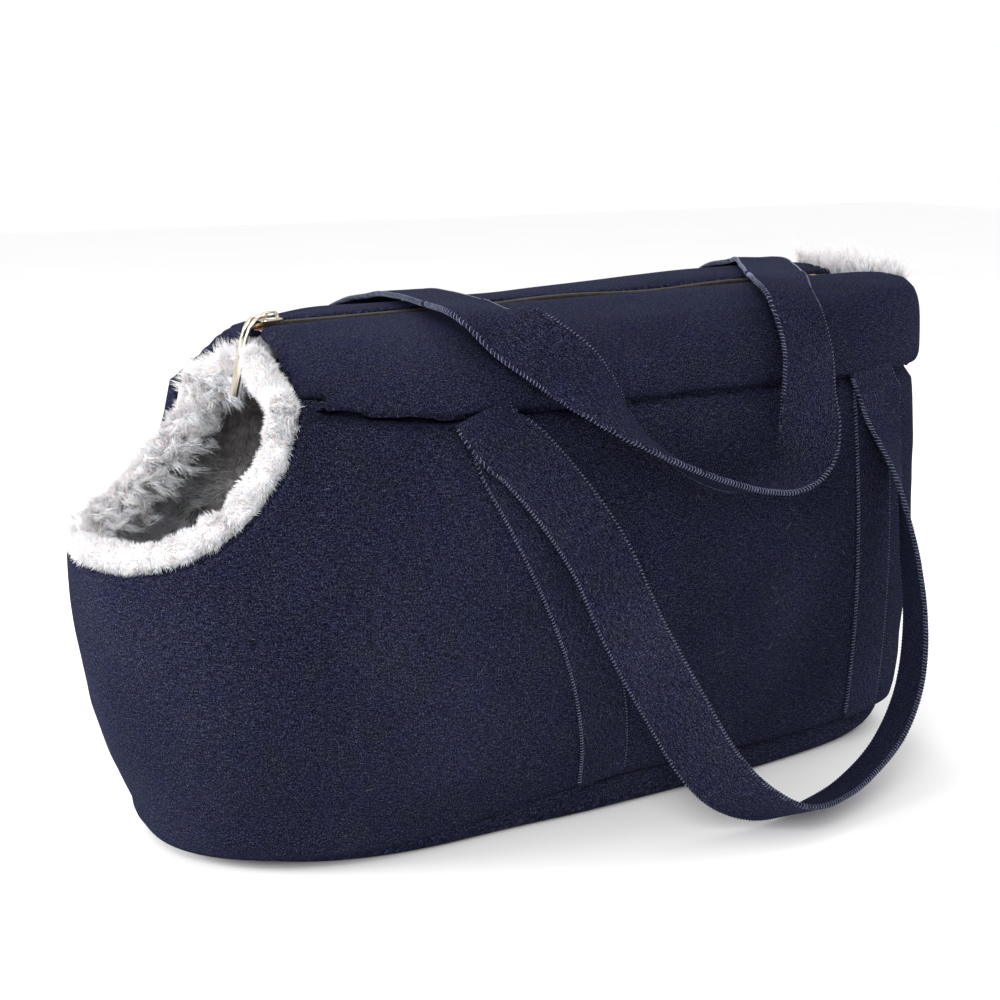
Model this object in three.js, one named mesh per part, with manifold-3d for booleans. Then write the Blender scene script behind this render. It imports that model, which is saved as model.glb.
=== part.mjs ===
// Soft-sided pet carrier bag, millimetres, +Z up.
// The origin is on the flat underside, below the middle of the zip.
// -X is the head opening, +X the tail opening, -Y the near side and +Y the far side.
import * as THREE from 'three';
import { mergeVertices } from 'three/addons/utils/BufferGeometryUtils.js';
import Module from 'manifold-3d';

// ---------- driving dimensions ----------
const LIP_X = -225;            // front of the head opening
const REAR_X = 225;            // rear wall
const WIDEST_X = -70;          // station of the greatest width
const HALF_WIDTH = 98;         // half of that width
const SEAM_Z = 19.5;           // seam between side wall and base cushion
const WIDEST_Z = 110;          // height of the greatest width
const LIP_Z = 140;             // lowest point of the head opening's rim
const FOLD_Z = 205;            // lower fold of the padded collar, at mid length
const FOLD_RISE = 10;          // the fold climbs this much at the head opening
const FOLD_DROP = 3;           // and sinks this much at the tail
const COLLAR_FRONT_X = -150;   // collar front edge at the fold
const ZIP_FRONT_X = -138;      // collar front edge at the zip
const COLLAR_REAR_X = 221;     // collar rear edge
const ZIP_EDGE_Z = 242.5;      // top of the collar beside the slider, with the zip closed
const ZIP_SLOPE = 0.0185;      // the zip climbs this much per millimetre towards the tail
const SLIDER_X = -134;         // front of the slider, with the zip closed
const ZIP_SLOT = 7;            // half-width of the slot between the two collars
const OVERHANG = 4;            // collar stands this far outside the wall
const STRAP_W = 30;            // webbing width
const STRAP_T = 2.4;           // webbing thickness
const TRIM_R = 5.4;            // fur roll radius at the head opening
const REAR_TRIM_R = 5;         // fur roll radius at the tail opening
const GAP = 0.4;               // room between touching layers

// wall layers, as depths below the outer surface
const WALL = { shell: [0, 2], padding: [2.4, 8.2], lining: [8.6, 11.6] };
const COLLAR = { shell: [0, 2.6], padding: [3, 8.6], lining: [9, 11.4] };

// ---------- small helpers ----------
const smooth = (t) => {
  const c = THREE.MathUtils.clamp(t, 0, 1);
  return c * c * (3 - 2 * c);
};
const signedPower = (value, power) => Math.sign(value) * Math.abs(value) ** power;
const v3 = (x, y, z) => new THREE.Vector3(x, y, z);

function fabric(color, roughness = 0.9) {
  return new THREE.MeshStandardMaterial({ color, roughness, metalness: 0 });
}
function metal(color, roughness = 0.35) {
  return new THREE.MeshStandardMaterial({ color, roughness, metalness: 1 });
}
const DENIM = 0x22294a;
const STRAP_DENIM = 0x232a50;
const FOAM = 0xe8e4d8;
const PLUSH = 0xb9b8bb;
const BOARD = 0x2a2522;
const FUR = 0xf2eff0;
const BROWN = 0x4a2a26;
const BRASS = 0x6b5238;
const NICKEL = 0xc9bfae;

const carrier = new THREE.Group();
carrier.name = 'pet_carrier_bag';
function add(name, geometry, material) {
  const mesh = new THREE.Mesh(geometry, material);
  mesh.name = name;
  carrier.add(mesh);
  return mesh;
}

// Turns a list of quads and triangles into a closed body whose faces point out.
function closedBody(points, faces) {
  const index = [];
  for (const face of faces) {
    for (let i = 2; i < face.length; i += 1) {
      index.push(face[0], face[i - 1], face[i]);
    }
  }
  let volume = 0;
  const cross = new THREE.Vector3();
  for (let i = 0; i < index.length; i += 3) {
    cross.crossVectors(points[index[i + 1]], points[index[i + 2]]);
    volume += points[index[i]].dot(cross);
  }
  if (volume < 0) {
    index.reverse();
  }
  const geometry = new THREE.BufferGeometry();
  geometry.setAttribute('position', new THREE.Float32BufferAttribute(points.flatMap((p) => p.toArray()), 3));
  geometry.setIndex(index);
  geometry.computeVertexNormals();
  return geometry;
}

// A layer of cloth or foam between two grids of points, outer(i, j) and inner(i, j).
// With wrap the layer closes on itself along i.
function layer(outer, inner, countI, countJ, wrap = false) {
  const points = [];
  for (const surface of [outer, inner]) {
    for (let i = 0; i < countI; i += 1) {
      for (let j = 0; j < countJ; j += 1) {
        points.push(surface(i, j));
      }
    }
  }
  const inside = countI * countJ;
  const at = (i, j) => (i % countI) * countJ + j;
  const lastI = wrap ? countI : countI - 1;
  const faces = [];
  for (let i = 0; i < lastI; i += 1) {
    for (let j = 0; j < countJ - 1; j += 1) {
      const [a, b, c, d] = [at(i, j), at(i + 1, j), at(i + 1, j + 1), at(i, j + 1)];
      faces.push([a, b, c, d], [a, d, c, b].map((k) => k + inside));
    }
    for (const [j, flip] of [[0, false], [countJ - 1, true]]) {
      const strip = [at(i, j), at(i, j) + inside, at(i + 1, j) + inside, at(i + 1, j)];
      faces.push(flip ? strip.reverse() : strip);
    }
  }
  if (!wrap) {
    for (let j = 0; j < countJ - 1; j += 1) {
      for (const [i, flip] of [[0, true], [countI - 1, false]]) {
        const strip = [at(i, j), at(i, j) + inside, at(i, j + 1) + inside, at(i, j + 1)];
        faces.push(flip ? strip.reverse() : strip);
      }
    }
  }
  return closedBody(points, faces);
}

// ---------- shape of the wall ----------
// The plan is a wide ellipse at the front and a squarer superellipse at the rear,
// which also narrows towards the tail.
const FRONT_POWER = 2.25;
const REAR_POWER = 5;
const TAPER = 0.1;
// the wall tucks in below its widest height, more under the front than under the tail
const tuckAt = (x) => 0.17 - 0.09 * smooth(x / 130);
const widthAt = (x, z) => (z < WIDEST_Z
  ? 1 - tuckAt(x) * ((WIDEST_Z - z) / (WIDEST_Z - SEAM_Z)) ** 2
  : 1 - 0.07 * ((z - WIDEST_Z) / (FOLD_Z - WIDEST_Z)) ** 2);
const frontAt = (z) => 1 - 0.15 * (Math.max(LIP_Z - z, 0) / (LIP_Z - SEAM_Z)) ** 2.26;
const rearAt = (z) => 1 - 0.008 * (Math.max(WIDEST_Z - z, 0) / (WIDEST_Z - SEAM_Z)) ** 2;
const taperAt = (x) => 1 - TAPER * smooth((x + 20) / 180);

// angle 0 is the front, a quarter turn is the near side
function planPoint(angle, width, front, rear) {
  const c = Math.cos(angle);
  const s = Math.sin(angle);
  const power = c > 0 ? FRONT_POWER : REAR_POWER;
  const reach = c > 0 ? (WIDEST_X - LIP_X) * front : (REAR_X - WIDEST_X) * rear;
  const x = WIDEST_X - signedPower(c, 2 / power) * reach;
  const y = -signedPower(s, 2 / power) * HALF_WIDTH * width(x) * taperAt(x);
  return new THREE.Vector2(x, y);
}
const wallPlan = (angle, z) => planPoint(angle, (x) => widthAt(x, z), frontAt(z), rearAt(z));

// half-width of the wall at station x and height z
function halfWidth(x, z) {
  const ahead = x < WIDEST_X;
  const power = ahead ? FRONT_POWER : REAR_POWER;
  const reach = ahead ? (WIDEST_X - LIP_X) * frontAt(z) : (REAR_X - WIDEST_X) * rearAt(z);
  const u = Math.min(Math.abs(x - WIDEST_X) / reach, 1);
  return HALF_WIDTH * widthAt(x, z) * (1 - u ** power) ** (1 / power) * taperAt(x);
}
const foldHeight = (x) => FOLD_Z
  + FOLD_RISE * (Math.max(-80 - x, 0) / (-80 - COLLAR_FRONT_X)) ** 1.5
  - FOLD_DROP * smooth(x / REAR_X);

// angles that space the stations evenly along the plan
function evenAngles(count) {
  const fine = 2000;
  const length = [0];
  let last = wallPlan(0, WIDEST_Z);
  for (let i = 1; i <= fine; i += 1) {
    const next = wallPlan((i / fine) * Math.PI, WIDEST_Z);
    length.push(length[i - 1] + next.distanceTo(last));
    last = next;
  }
  const half = [];
  let k = 0;
  for (let i = 0; i <= count / 2; i += 1) {
    const target = (i / (count / 2)) * length[fine];
    while (k < fine && length[k] < target - 1e-9) {
      k += 1;
    }
    half.push((k / fine) * Math.PI);
  }
  const back = half.slice(1, -1).reverse().map((a) => 2 * Math.PI - a);
  return [...half, ...back];
}
const STATIONS = 48;
const ANGLES = evenAngles(STATIONS);
// one station on either side is moved to the collar's front edge
const EDGE_ANGLE = Math.acos(((WIDEST_X - COLLAR_FRONT_X) / (WIDEST_X - LIP_X)) ** (FRONT_POWER / 2));
const edgeStation = ANGLES.findIndex((a) => a > EDGE_ANGLE);
ANGLES[edgeStation] = EDGE_ANGLE;
ANGLES[STATIONS - edgeStation] = 2 * Math.PI - EDGE_ANGLE;

// a plan point moved inwards, square to the plan's outline
function insetPlan(plan, angle, depth) {
  const step = 1e-3;
  const along = plan(angle + step).sub(plan(angle - step)).normalize();
  const p = plan(angle);
  const normal = new THREE.Vector2(along.y, -along.x);
  if (normal.dot(new THREE.Vector2(WIDEST_X, 0).sub(p)) < 0) {
    normal.negate();
  }
  return p.addScaledVector(normal, depth);
}

// the rim sweeps from the lip up to the collar in one rounded curve
const RIM_POWER = 1.8;
function rimHeight(x) {
  if (x > COLLAR_FRONT_X - 0.01) {
    return foldHeight(x) - GAP;
  }
  const u = THREE.MathUtils.clamp((x - LIP_X) / (COLLAR_FRONT_X - LIP_X), 0, 1);
  const climb = FOLD_Z + FOLD_RISE - GAP - LIP_Z;
  return LIP_Z + climb * (1 - (1 - u ** RIM_POWER) ** (1 / RIM_POWER));
}
const WALL_ROWS = 7;
const rowHeight = (top, j) => SEAM_Z + GAP + (top - SEAM_Z - GAP) * (j / (WALL_ROWS - 1)) ** 1.25;

function wallPoint(i, j, depth) {
  const angle = ANGLES[i];
  const outerX = wallPlan(angle, FOLD_Z).x;
  const underCollar = outerX > COLLAR_FRONT_X - 0.01;
  const topX = underCollar ? insetPlan((a) => wallPlan(a, FOLD_Z), angle, depth).x : outerX;
  const z = rowHeight(rimHeight(topX), j);
  const p = insetPlan((a) => wallPlan(a, z), angle, depth);
  return v3(p.x, p.y, z);
}
const wallLayer = ([from, to]) => layer(
  (i, j) => wallPoint(i, j, from),
  (i, j) => wallPoint(i, j, to),
  STATIONS,
  WALL_ROWS,
  true,
);
add('body_shell', wallLayer(WALL.shell), fabric(DENIM));
add('body_padding', wallLayer(WALL.padding), fabric(FOAM));
add('body_lining', wallLayer(WALL.lining), fabric(PLUSH));

// ---------- base: a shallow sewn pan, its stiffener, its foam and the loose mat ----------
const BASE_STATIONS = 40;
const BASE_ANGLES = evenAngles(BASE_STATIONS);
// the pan's plan between the ground, t = 0, and the seam, t = 1
function basePlan(t) {
  const width = (x) => 0.745 + 0.08 * t + (0.16 - tuckAt(x)) * 0.5;
  return (angle) => planPoint(angle, width, 0.7 + 0.13 * t, 0.93 + 0.035 * t);
}

// stacks closed rings of plan points into one body; each ring is [height, bulge 0..1, inset]
function stack(rings) {
  const points = [];
  const faces = [];
  for (const [z, bulge, inset] of rings) {
    for (const angle of BASE_ANGLES) {
      const p = insetPlan(basePlan(bulge), angle, inset);
      points.push(v3(p.x, p.y, z));
    }
  }
  for (let r = 0; r < rings.length - 1; r += 1) {
    for (let i = 0; i < BASE_STATIONS; i += 1) {
      const next = (i + 1) % BASE_STATIONS;
      const a = r * BASE_STATIONS;
      const b = a + BASE_STATIONS;
      faces.push([a + i, a + next, b + next, b + i]);
    }
  }
  const lid = BASE_ANGLES.map((_, i) => i);
  const top = lid.map((i) => i + (rings.length - 1) * BASE_STATIONS);
  const centres = [lid, top].map((ring) => {
    const centre = ring.reduce((sum, k) => sum.add(points[k]), v3(0, 0, 0)).divideScalar(ring.length);
    points.push(centre);
    return points.length - 1;
  });
  for (let i = 0; i < BASE_STATIONS; i += 1) {
    const next = (i + 1) % BASE_STATIONS;
    faces.push([centres[0], lid[next], lid[i]], [centres[1], top[i], top[next]]);
  }
  return closedBody(points, faces);
}
const PAN_WALL = 2.2;
add('base_shell', stack([
  [PAN_WALL, 0, PAN_WALL],
  [SEAM_Z - 0.1, 1, PAN_WALL],
  [SEAM_Z - 0.1, 1, 0],
  [13, 0.95, 0],
  [6, 0.6, 0],
  [0, 0, 0],
]), fabric(DENIM));
add('base_board', stack([[2.6, 0, 4], [5.2, 0, 4]]), fabric(BOARD, 0.7));
add('base_padding', stack([[5.6, 0, 4], [12, 0.5, 4], [18.6, 0.85, 4]]), fabric(FOAM));
add('base_mat', stack([[20.2, 0.5, 12], [24, 0.75, 11.5], [30, 0.75, 11.5], [33.5, 0.5, 14]]), fabric(PLUSH));

// ---------- collar: two padded halves that meet at the zip ----------
const SECTION_POINTS = 9;
const COLLAR_STATIONS = 13;
const PADDING_REAR_X = COLLAR_REAR_X - 11.5;   // padding and lining stop short, to seat the rear roll
// the section is a plain slope at the head opening, round at mid length and square at the tail
const SECTION_POWER = { front: 1.1, middle: 2.6, rear: 5.6 };
const sectionPower = (x) => SECTION_POWER.front
  + (SECTION_POWER.middle - SECTION_POWER.front) * smooth((x - COLLAR_FRONT_X) / 90)
  + (SECTION_POWER.rear - SECTION_POWER.middle) * smooth(x / REAR_X);
const zipClimb = (x) => ZIP_SLOPE * (x - SLIDER_X);
// height of the ridge along each collar: almost level at first, then rising to the tail
const CROWN = { front: 243, middle: 244.5, rear: 251 };
const CLIMB = { start: -20, length: 240 };
const crownHeight = (x) => CROWN.front
  + (CROWN.middle - CROWN.front) * smooth((x - COLLAR_FRONT_X) / 150)
  + (CROWN.rear - CROWN.middle) * smooth((x - CLIMB.start) / CLIMB.length);

// half-section in (outward, up), from the zip edge at t = 0 to the fold at t = 1
function collarSection(x, t) {
  const fold = foldHeight(x);
  const half = halfWidth(x, fold) + OVERHANG;
  const power = sectionPower(x);
  const height = crownHeight(x) - fold;
  const topAngle = Math.asin((ZIP_SLOT / half) ** (power / 2));
  const angle = topAngle + (Math.PI / 2 - topAngle) * t;
  const out = half * Math.sin(angle) ** (2 / power);
  const up = fold + 0.1 + height * Math.max(Math.cos(angle), 0) ** (2 / power);
  const slotTop = fold + height * Math.cos(topAngle) ** (2 / power);
  const dip = slotTop - ZIP_EDGE_Z - zipClimb(x);
  return new THREE.Vector2(out, up - dip * Math.exp(-((out / 26) ** 2)));
}
// the same section moved inwards by a depth
function collarInset(x, t, depth) {
  const p = collarSection(x, t);
  const ahead = collarSection(x, Math.min(t + 0.02, 1));
  const behind = collarSection(x, Math.max(t - 0.02, 0));
  const along = ahead.sub(behind).normalize();
  const normal = new THREE.Vector2(along.y, -along.x);
  const atZip = smooth(1 - t / 0.12);
  const atFold = smooth((t - 0.82) / 0.18);
  normal.lerp(new THREE.Vector2(0, -1), atZip).lerp(new THREE.Vector2(-1, 0), atFold).normalize();
  const floor = foldHeight(x) + 0.1;
  const lowest = floor + 0.35 * (p.y - floor);
  p.addScaledVector(normal, depth);
  p.y = Math.max(p.y, lowest);
  return p;
}
const collarFront = (t) => ZIP_FRONT_X + (COLLAR_FRONT_X - ZIP_FRONT_X) * t;
function collarPoint(side, i, j, depth) {
  const t = (j / (SECTION_POINTS - 1)) ** 0.9;
  const share = Math.min(i / (COLLAR_STATIONS - 2), 1);
  const along = Math.sin(share * (Math.PI / 2)) ** 1.1;
  const inner = collarFront(t) + (PADDING_REAR_X - collarFront(t)) * along;
  const x = i === COLLAR_STATIONS - 1 ? COLLAR_REAR_X : inner;
  const p = collarInset(x, t, depth);
  return v3(x, side * p.x, p.y);
}
const collarLayer = (side, [from, to], stations) => layer(
  (i, j) => collarPoint(side, i, j, from),
  (i, j) => collarPoint(side, i, j, to),
  stations,
  SECTION_POINTS,
);
const SIDES = { near: -1, far: 1 };
for (const [name, side] of Object.entries(SIDES)) {
  add(`collar_${name}`, collarLayer(side, COLLAR.shell, COLLAR_STATIONS), fabric(DENIM));
  add(`collar_padding_${name}`, collarLayer(side, COLLAR.padding, COLLAR_STATIONS - 1), fabric(FOAM));
  add(`collar_lining_${name}`, collarLayer(side, COLLAR.lining, COLLAR_STATIONS - 1), fabric(PLUSH));
}

// ---------- fur rolls ----------
function roll(path, radius, steps, closed = false) {
  const section = new THREE.Shape();
  const sides = 8;
  for (let i = 0; i < sides; i += 1) {
    const a = (i / sides) * 2 * Math.PI;
    if (i === 0) {
      section.moveTo(radius, 0);
    } else {
      section.lineTo(radius * Math.cos(a), radius * Math.sin(a));
    }
  }
  const curve = new THREE.CatmullRomCurve3(path, closed, 'centripetal');
  return new THREE.ExtrudeGeometry(section, { steps, extrudePath: curve, bevelEnabled: false });
}
const mirrored = (points) => points.map((p) => v3(p.x, -p.y, p.z)).reverse();

// near half of the front roll: along the rim from the lip, then up the collar's front edge
function frontRollHalf() {
  const half = [];
  const standOff = TRIM_R + 1.2;
  const cornerRoom = 0.8;   // further off where the rim meets the collar
  const collarRoom = 1.9;   // further off in front of the collar's edge
  const middle = WALL.lining[1] / 2;
  const rimSteps = 9;
  const rimAt = (angle) => {
    const p = insetPlan((a) => wallPlan(a, FOLD_Z), angle, middle);
    return v3(p.x, p.y, rimHeight(wallPlan(angle, FOLD_Z).x));
  };
  for (let i = 1; i <= rimSteps; i += 1) {
    const angle = EDGE_ANGLE * Math.sin((i / rimSteps) * (Math.PI / 2));
    const along = rimAt(angle + 1e-3).sub(rimAt(angle - 1e-3));
    const run = Math.hypot(along.x, along.y);
    const climb = i === rimSteps ? Math.PI / 2 : Math.atan2(along.z, run);
    const flat = v3(along.x, along.y, 0).normalize();
    const away = v3(0, 0, Math.cos(climb)).addScaledVector(flat, -Math.sin(climb));
    half.push(rimAt(angle).addScaledVector(away, standOff + (i > rimSteps - 2 ? cornerRoom : 0)));
  }
  const collarSteps = 6;
  for (let i = 1; i <= collarSteps; i += 1) {
    const t = 1 - (i / collarSteps) * 0.9;
    const p = collarInset(collarFront(t), t, COLLAR.lining[1] / 2);
    half.push(v3(collarFront(t) - standOff - collarRoom, -Math.max(p.x, ZIP_SLOT + TRIM_R), p.y));
  }
  return half;
}
const nearRoll = frontRollHalf();
const lipPoint = v3(LIP_X + WALL.lining[1] / 2, 0, LIP_Z + TRIM_R + 0.7);
add('front_fur_trim', roll([...mirrored(nearRoll), lipPoint, ...nearRoll], TRIM_R, 60), fabric(FUR, 1));

// closed roll inside the collar's rear edge and along the top of the rear wall
function rearRollPath() {
  const x = COLLAR_REAR_X - 5;
  const room = 0.9;
  const underZip = ZIP_EDGE_Z + zipClimb(x) - COLLAR.shell[1] - room - 0.5 - REAR_TRIM_R;
  const half = [v3(x, 0, underZip)];
  const steps = 9;
  for (let i = 0; i <= steps; i += 1) {
    const t = 0.05 + 0.75 * (i / steps);
    const p = collarInset(x + 4, t, COLLAR.shell[1] + room + REAR_TRIM_R);
    half.push(v3(x, -p.x, p.y));
  }
  const sillZ = foldHeight(x) + REAR_TRIM_R + room + GAP;
  half.push(v3(x + 1.5, half[steps + 1].y + 8, sillZ), v3(x + 3, -14, sillZ));
  return [...half, ...mirrored(half.slice(1))];
}
add('rear_fur_trim', roll(rearRollPath(), REAR_TRIM_R, 44, true), fabric(FUR, 1));

// ---------- zip ----------
const CHAIN_Z = 240;           // middle of the coil beside the slider
const SLIDER_L = 10.5;
const CHAIN_END_X = 190;
const TAPE_END_X = 196;
function slab(x0, x1, y0, y1, z0, z1) {
  const box = new THREE.BoxGeometry(x1 - x0, y1 - y0, z1 - z0);
  return box.translate((x0 + x1) / 2, (y0 + y1) / 2, (z0 + z1) / 2);
}
// every zip part is drawn level and then follows the zip's climb
const tilted = (geometry) => geometry.applyMatrix4(
  new THREE.Matrix4().set(1, 0, 0, 0, 0, 1, 0, 0, ZIP_SLOPE, 0, 1, -ZIP_SLOPE * SLIDER_X, 0, 0, 0, 1),
);
// one slab on either side of the zip line
const sideSlab = (side, x0, x1, y0, y1, z0, z1) => tilted(slab(
  x0,
  x1,
  Math.min(side * y0, side * y1),
  Math.max(side * y0, side * y1),
  z0,
  z1,
));
for (const [name, side] of Object.entries(SIDES)) {
  const tape = sideSlab(side, ZIP_FRONT_X, TAPE_END_X, 2.9, ZIP_SLOT - GAP, CHAIN_Z - 1, CHAIN_Z - 0.2);
  add(`zip_tape_${name}`, tape, fabric(BROWN));
  const chainX = SLIDER_X + SLIDER_L + GAP;
  const coil = sideSlab(side, chainX, CHAIN_END_X, 0.2, 2.5, CHAIN_Z - 1.2, CHAIN_Z + 1.2);
  add(`zip_coil_${name}`, coil, metal(BRASS, 0.5));
  const stop = sideSlab(side, SLIDER_X - 3.6, SLIDER_X - 0.5, 3, 4.6, CHAIN_Z + 0.1, CHAIN_Z + 1.5);
  add(`zip_top_stop_${name}`, stop, metal(BRASS));
}
const bottomStop = slab(CHAIN_END_X + 0.4, TAPE_END_X - 1.2, -2.4, 2.4, CHAIN_Z - 1.3, CHAIN_Z + 1.3);
add('zip_bottom_stop', tilted(bottomStop), metal(BRASS));
const endTab = slab(TAPE_END_X + 0.4, TAPE_END_X + 11, -6.4, 6.4, CHAIN_Z - 1, CHAIN_Z + 0.3);
add('zip_end_tab', tilted(endTab), fabric(BROWN));

// solids for cutting and joining
const wasm = await Module();
wasm.setup();
function solid(geometry) {
  const bare = geometry.clone();
  bare.deleteAttribute('normal');
  bare.deleteAttribute('uv');
  const merged = mergeVertices(bare, 1e-5);
  return new wasm.Manifold(new wasm.Mesh({
    numProp: 3,
    vertProperties: new Float32Array(merged.attributes.position.array),
    triVerts: new Uint32Array(merged.index.array),
  }));
}
function toGeometry(manifold) {
  const mesh = manifold.getMesh();
  const geometry = new THREE.BufferGeometry();
  geometry.setAttribute('position', new THREE.BufferAttribute(mesh.vertProperties, 3));
  geometry.setIndex(new THREE.BufferAttribute(mesh.triVerts, 1));
  geometry.computeVertexNormals();
  return geometry;
}
const keepBetween = (geometry, z0, z1) => toGeometry(solid(geometry).intersect(
  solid(slab(LIP_X, REAR_X, -2 * HALF_WIDTH, 2 * HALF_WIDTH, z0, z1)),
));
const join = (...parts) => toGeometry(parts.map(solid).reduce((sum, part) => sum.add(part)));

// a plate whose outline is drawn in (x, z) and which is extruded from y0 to y1
function sidePlate(shape, y0, y1, curveSegments = 6) {
  const plate = new THREE.ExtrudeGeometry(shape, { depth: y1 - y0, bevelEnabled: false, curveSegments });
  return plate.rotateX(Math.PI / 2).translate(0, y1, 0);
}
// a plate whose outline is drawn in plan and which is extruded from z0 to z1
function planPlate(shape, z0, z1, curveSegments = 6) {
  const plate = new THREE.ExtrudeGeometry(shape, { depth: z1 - z0, bevelEnabled: false, curveSegments });
  return plate.translate(0, 0, z0);
}

function sliderPlan() {
  const plan = new THREE.Shape();
  const end = SLIDER_X + SLIDER_L;
  plan.moveTo(end, -2.6);
  plan.lineTo(end, 2.6);
  plan.quadraticCurveTo(SLIDER_X + 6, 2.9, SLIDER_X + 3.5, 4.1);
  plan.quadraticCurveTo(SLIDER_X, 4.4, SLIDER_X, 2.2);
  plan.lineTo(SLIDER_X, -2.2);
  plan.quadraticCurveTo(SLIDER_X, -4.4, SLIDER_X + 3.5, -4.1);
  plan.quadraticCurveTo(SLIDER_X + 6, -2.9, end, -2.6);
  return plan;
}
const PLATE_TOP = CHAIN_Z + 2.8;
const BRIDGE_TOP = CHAIN_Z + 6.4;
const EYE = { x: SLIDER_X + 3.6, z: CHAIN_Z + 4.1 };
function bridge() {
  const arch = new THREE.Shape();
  const front = SLIDER_X + 1;
  const rear = SLIDER_X + SLIDER_L - 1.4;
  arch.moveTo(front, PLATE_TOP - 0.3);
  arch.quadraticCurveTo(front, BRIDGE_TOP, front + 2.6, BRIDGE_TOP);
  arch.lineTo(rear - 2.6, BRIDGE_TOP);
  arch.quadraticCurveTo(rear, BRIDGE_TOP, rear, PLATE_TOP - 0.3);
  arch.lineTo(rear - 1.2, PLATE_TOP - 0.3);
  arch.quadraticCurveTo(rear - 1.2, BRIDGE_TOP - 1.1, rear - 3, BRIDGE_TOP - 1.1);
  arch.lineTo(front + 3, BRIDGE_TOP - 1.1);
  arch.quadraticCurveTo(front + 1.2, BRIDGE_TOP - 1.1, front + 1.2, PLATE_TOP - 0.3);
  return sidePlate(arch, -1.2, 1.2, 4);
}
add('zip_slider', tilted(join(
  planPlate(sliderPlan(), PLATE_TOP - 1.2, PLATE_TOP, 4),
  planPlate(sliderPlan(), CHAIN_Z - 2.8, CHAIN_Z - 1.6, 4),
  slab(SLIDER_X + 0.6, SLIDER_X + 3.4, -1, 1, CHAIN_Z - 2.2, CHAIN_Z + 2.2),
  bridge(),
)), metal(NICKEL));

// pull tab: a cross bar through the bridge, two arms and a curved blade
function bladeShape(start, end) {
  const spine = new THREE.CatmullRomCurve3([
    v3(EYE.x, 0, EYE.z),
    v3(EYE.x - 4.6, 0, EYE.z + 0.2),
    v3(EYE.x - 8.6, 0, EYE.z - 2.4),
    v3(EYE.x - 12, 0, EYE.z - 10),
    v3(EYE.x - 14.6, 0, EYE.z - 22),
    v3(EYE.x - 17.6, 0, EYE.z - 35),
  ], false, 'centripetal');
  const half = 0.6;
  const upper = [];
  const lower = [];
  const count = 9;
  for (let i = 0; i <= count; i += 1) {
    const u = start + (end - start) * (i / count);
    const p = spine.getPointAt(u);
    const d = spine.getTangentAt(u);
    upper.push(new THREE.Vector2(p.x + d.z * half, p.z - d.x * half));
    lower.push(new THREE.Vector2(p.x - d.z * half, p.z + d.x * half));
  }
  return new THREE.Shape([...upper, ...lower.reverse()]);
}
const bar = new THREE.CylinderGeometry(0.7, 0.7, 5.6, 12).translate(EYE.x, 0, EYE.z);
add('zip_pull_tab', tilted(join(
  bar,
  sidePlate(bladeShape(0, 0.45), 1.8, 3.4),
  sidePlate(bladeShape(0, 0.45), -3.4, -1.8),
  sidePlate(bladeShape(0.4, 1), -3.6, 3.6),
)), metal(NICKEL));

// ---------- webbing ----------
// A flat strap through centre points, with its outer face turned to the given directions.
function strap(stations, thickness, width, steps) {
  const centre = new THREE.CatmullRomCurve3(stations.map((s) => v3(...s.at)), false, 'centripetal');
  const turn = new THREE.CatmullRomCurve3(stations.map((s) => v3(...s.face)), false, 'centripetal');
  const corners = [];
  for (let i = 0; i <= steps; i += 1) {
    const t = i / steps;
    const p = centre.getPoint(t);
    const along = centre.getTangent(t);
    const face = turn.getPoint(t);
    face.addScaledVector(along, -face.dot(along)).normalize();
    const across = v3(0, 0, 0).crossVectors(along, face);
    for (const [a, b] of [[-1, -1], [1, -1], [1, 1], [-1, 1]]) {
      corners.push(p.clone().addScaledVector(across, (a * width) / 2).addScaledVector(face, (b * thickness) / 2));
    }
  }
  const faces = [[3, 2, 1, 0], [0, 1, 2, 3].map((k) => k + steps * 4)];
  for (let i = 0; i < steps; i += 1) {
    for (let k = 0; k < 4; k += 1) {
      const next = (k + 1) % 4;
      faces.push([i * 4 + k, i * 4 + next, (i + 1) * 4 + next, (i + 1) * 4 + k]);
    }
  }
  return closedBody(corners, faces);
}

// sewn legs: straps that lie on the wall from the fold down to the seam
const LEG_W = 27;
const LEG_T = 1.6;
function legStations(side, topX, bottomX) {
  const stations = [];
  const count = 7;
  for (let i = 0; i <= count; i += 1) {
    const t = i / count;
    const z = FOLD_Z - 9 + (SEAM_Z + 4 - FOLD_Z + 9) * t;
    const x = topX + (bottomX - topX) * (0.35 * t + 0.65 * Math.sin((t * Math.PI) / 2));
    const half = halfWidth(x, z);
    const step = 3;
    const leanX = (halfWidth(x + step, z) - halfWidth(x - step, z)) / (2 * step);
    const leanZ = (halfWidth(x, z + step) - halfWidth(x, z - step)) / (2 * step);
    stations.push({ at: [x, side * (half + LEG_T / 2 + 0.7), z], face: [-leanX, side, -leanZ] });
  }
  return stations;
}
for (const [name, side] of Object.entries(SIDES)) {
  add(`strap_leg_front_${name}`, strap(legStations(side, -66, 1), LEG_T, LEG_W, 10), fabric(STRAP_DENIM));
  add(`strap_leg_rear_${name}`, strap(legStations(side, 166, 172), LEG_T, LEG_W, 10), fabric(STRAP_DENIM));
}

// carrying handles: each hangs on two points beside the collar's fold
const HINGE_Z = FOLD_Z - 2;
const HANDLE_X = { front: -66, rear: 166 };
const hingeY = (x) => halfWidth(x, FOLD_Z) + 7.8;
const FRONT_Y = hingeY(HANDLE_X.front);
const REAR_Y = hingeY(HANDLE_X.rear);
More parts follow.
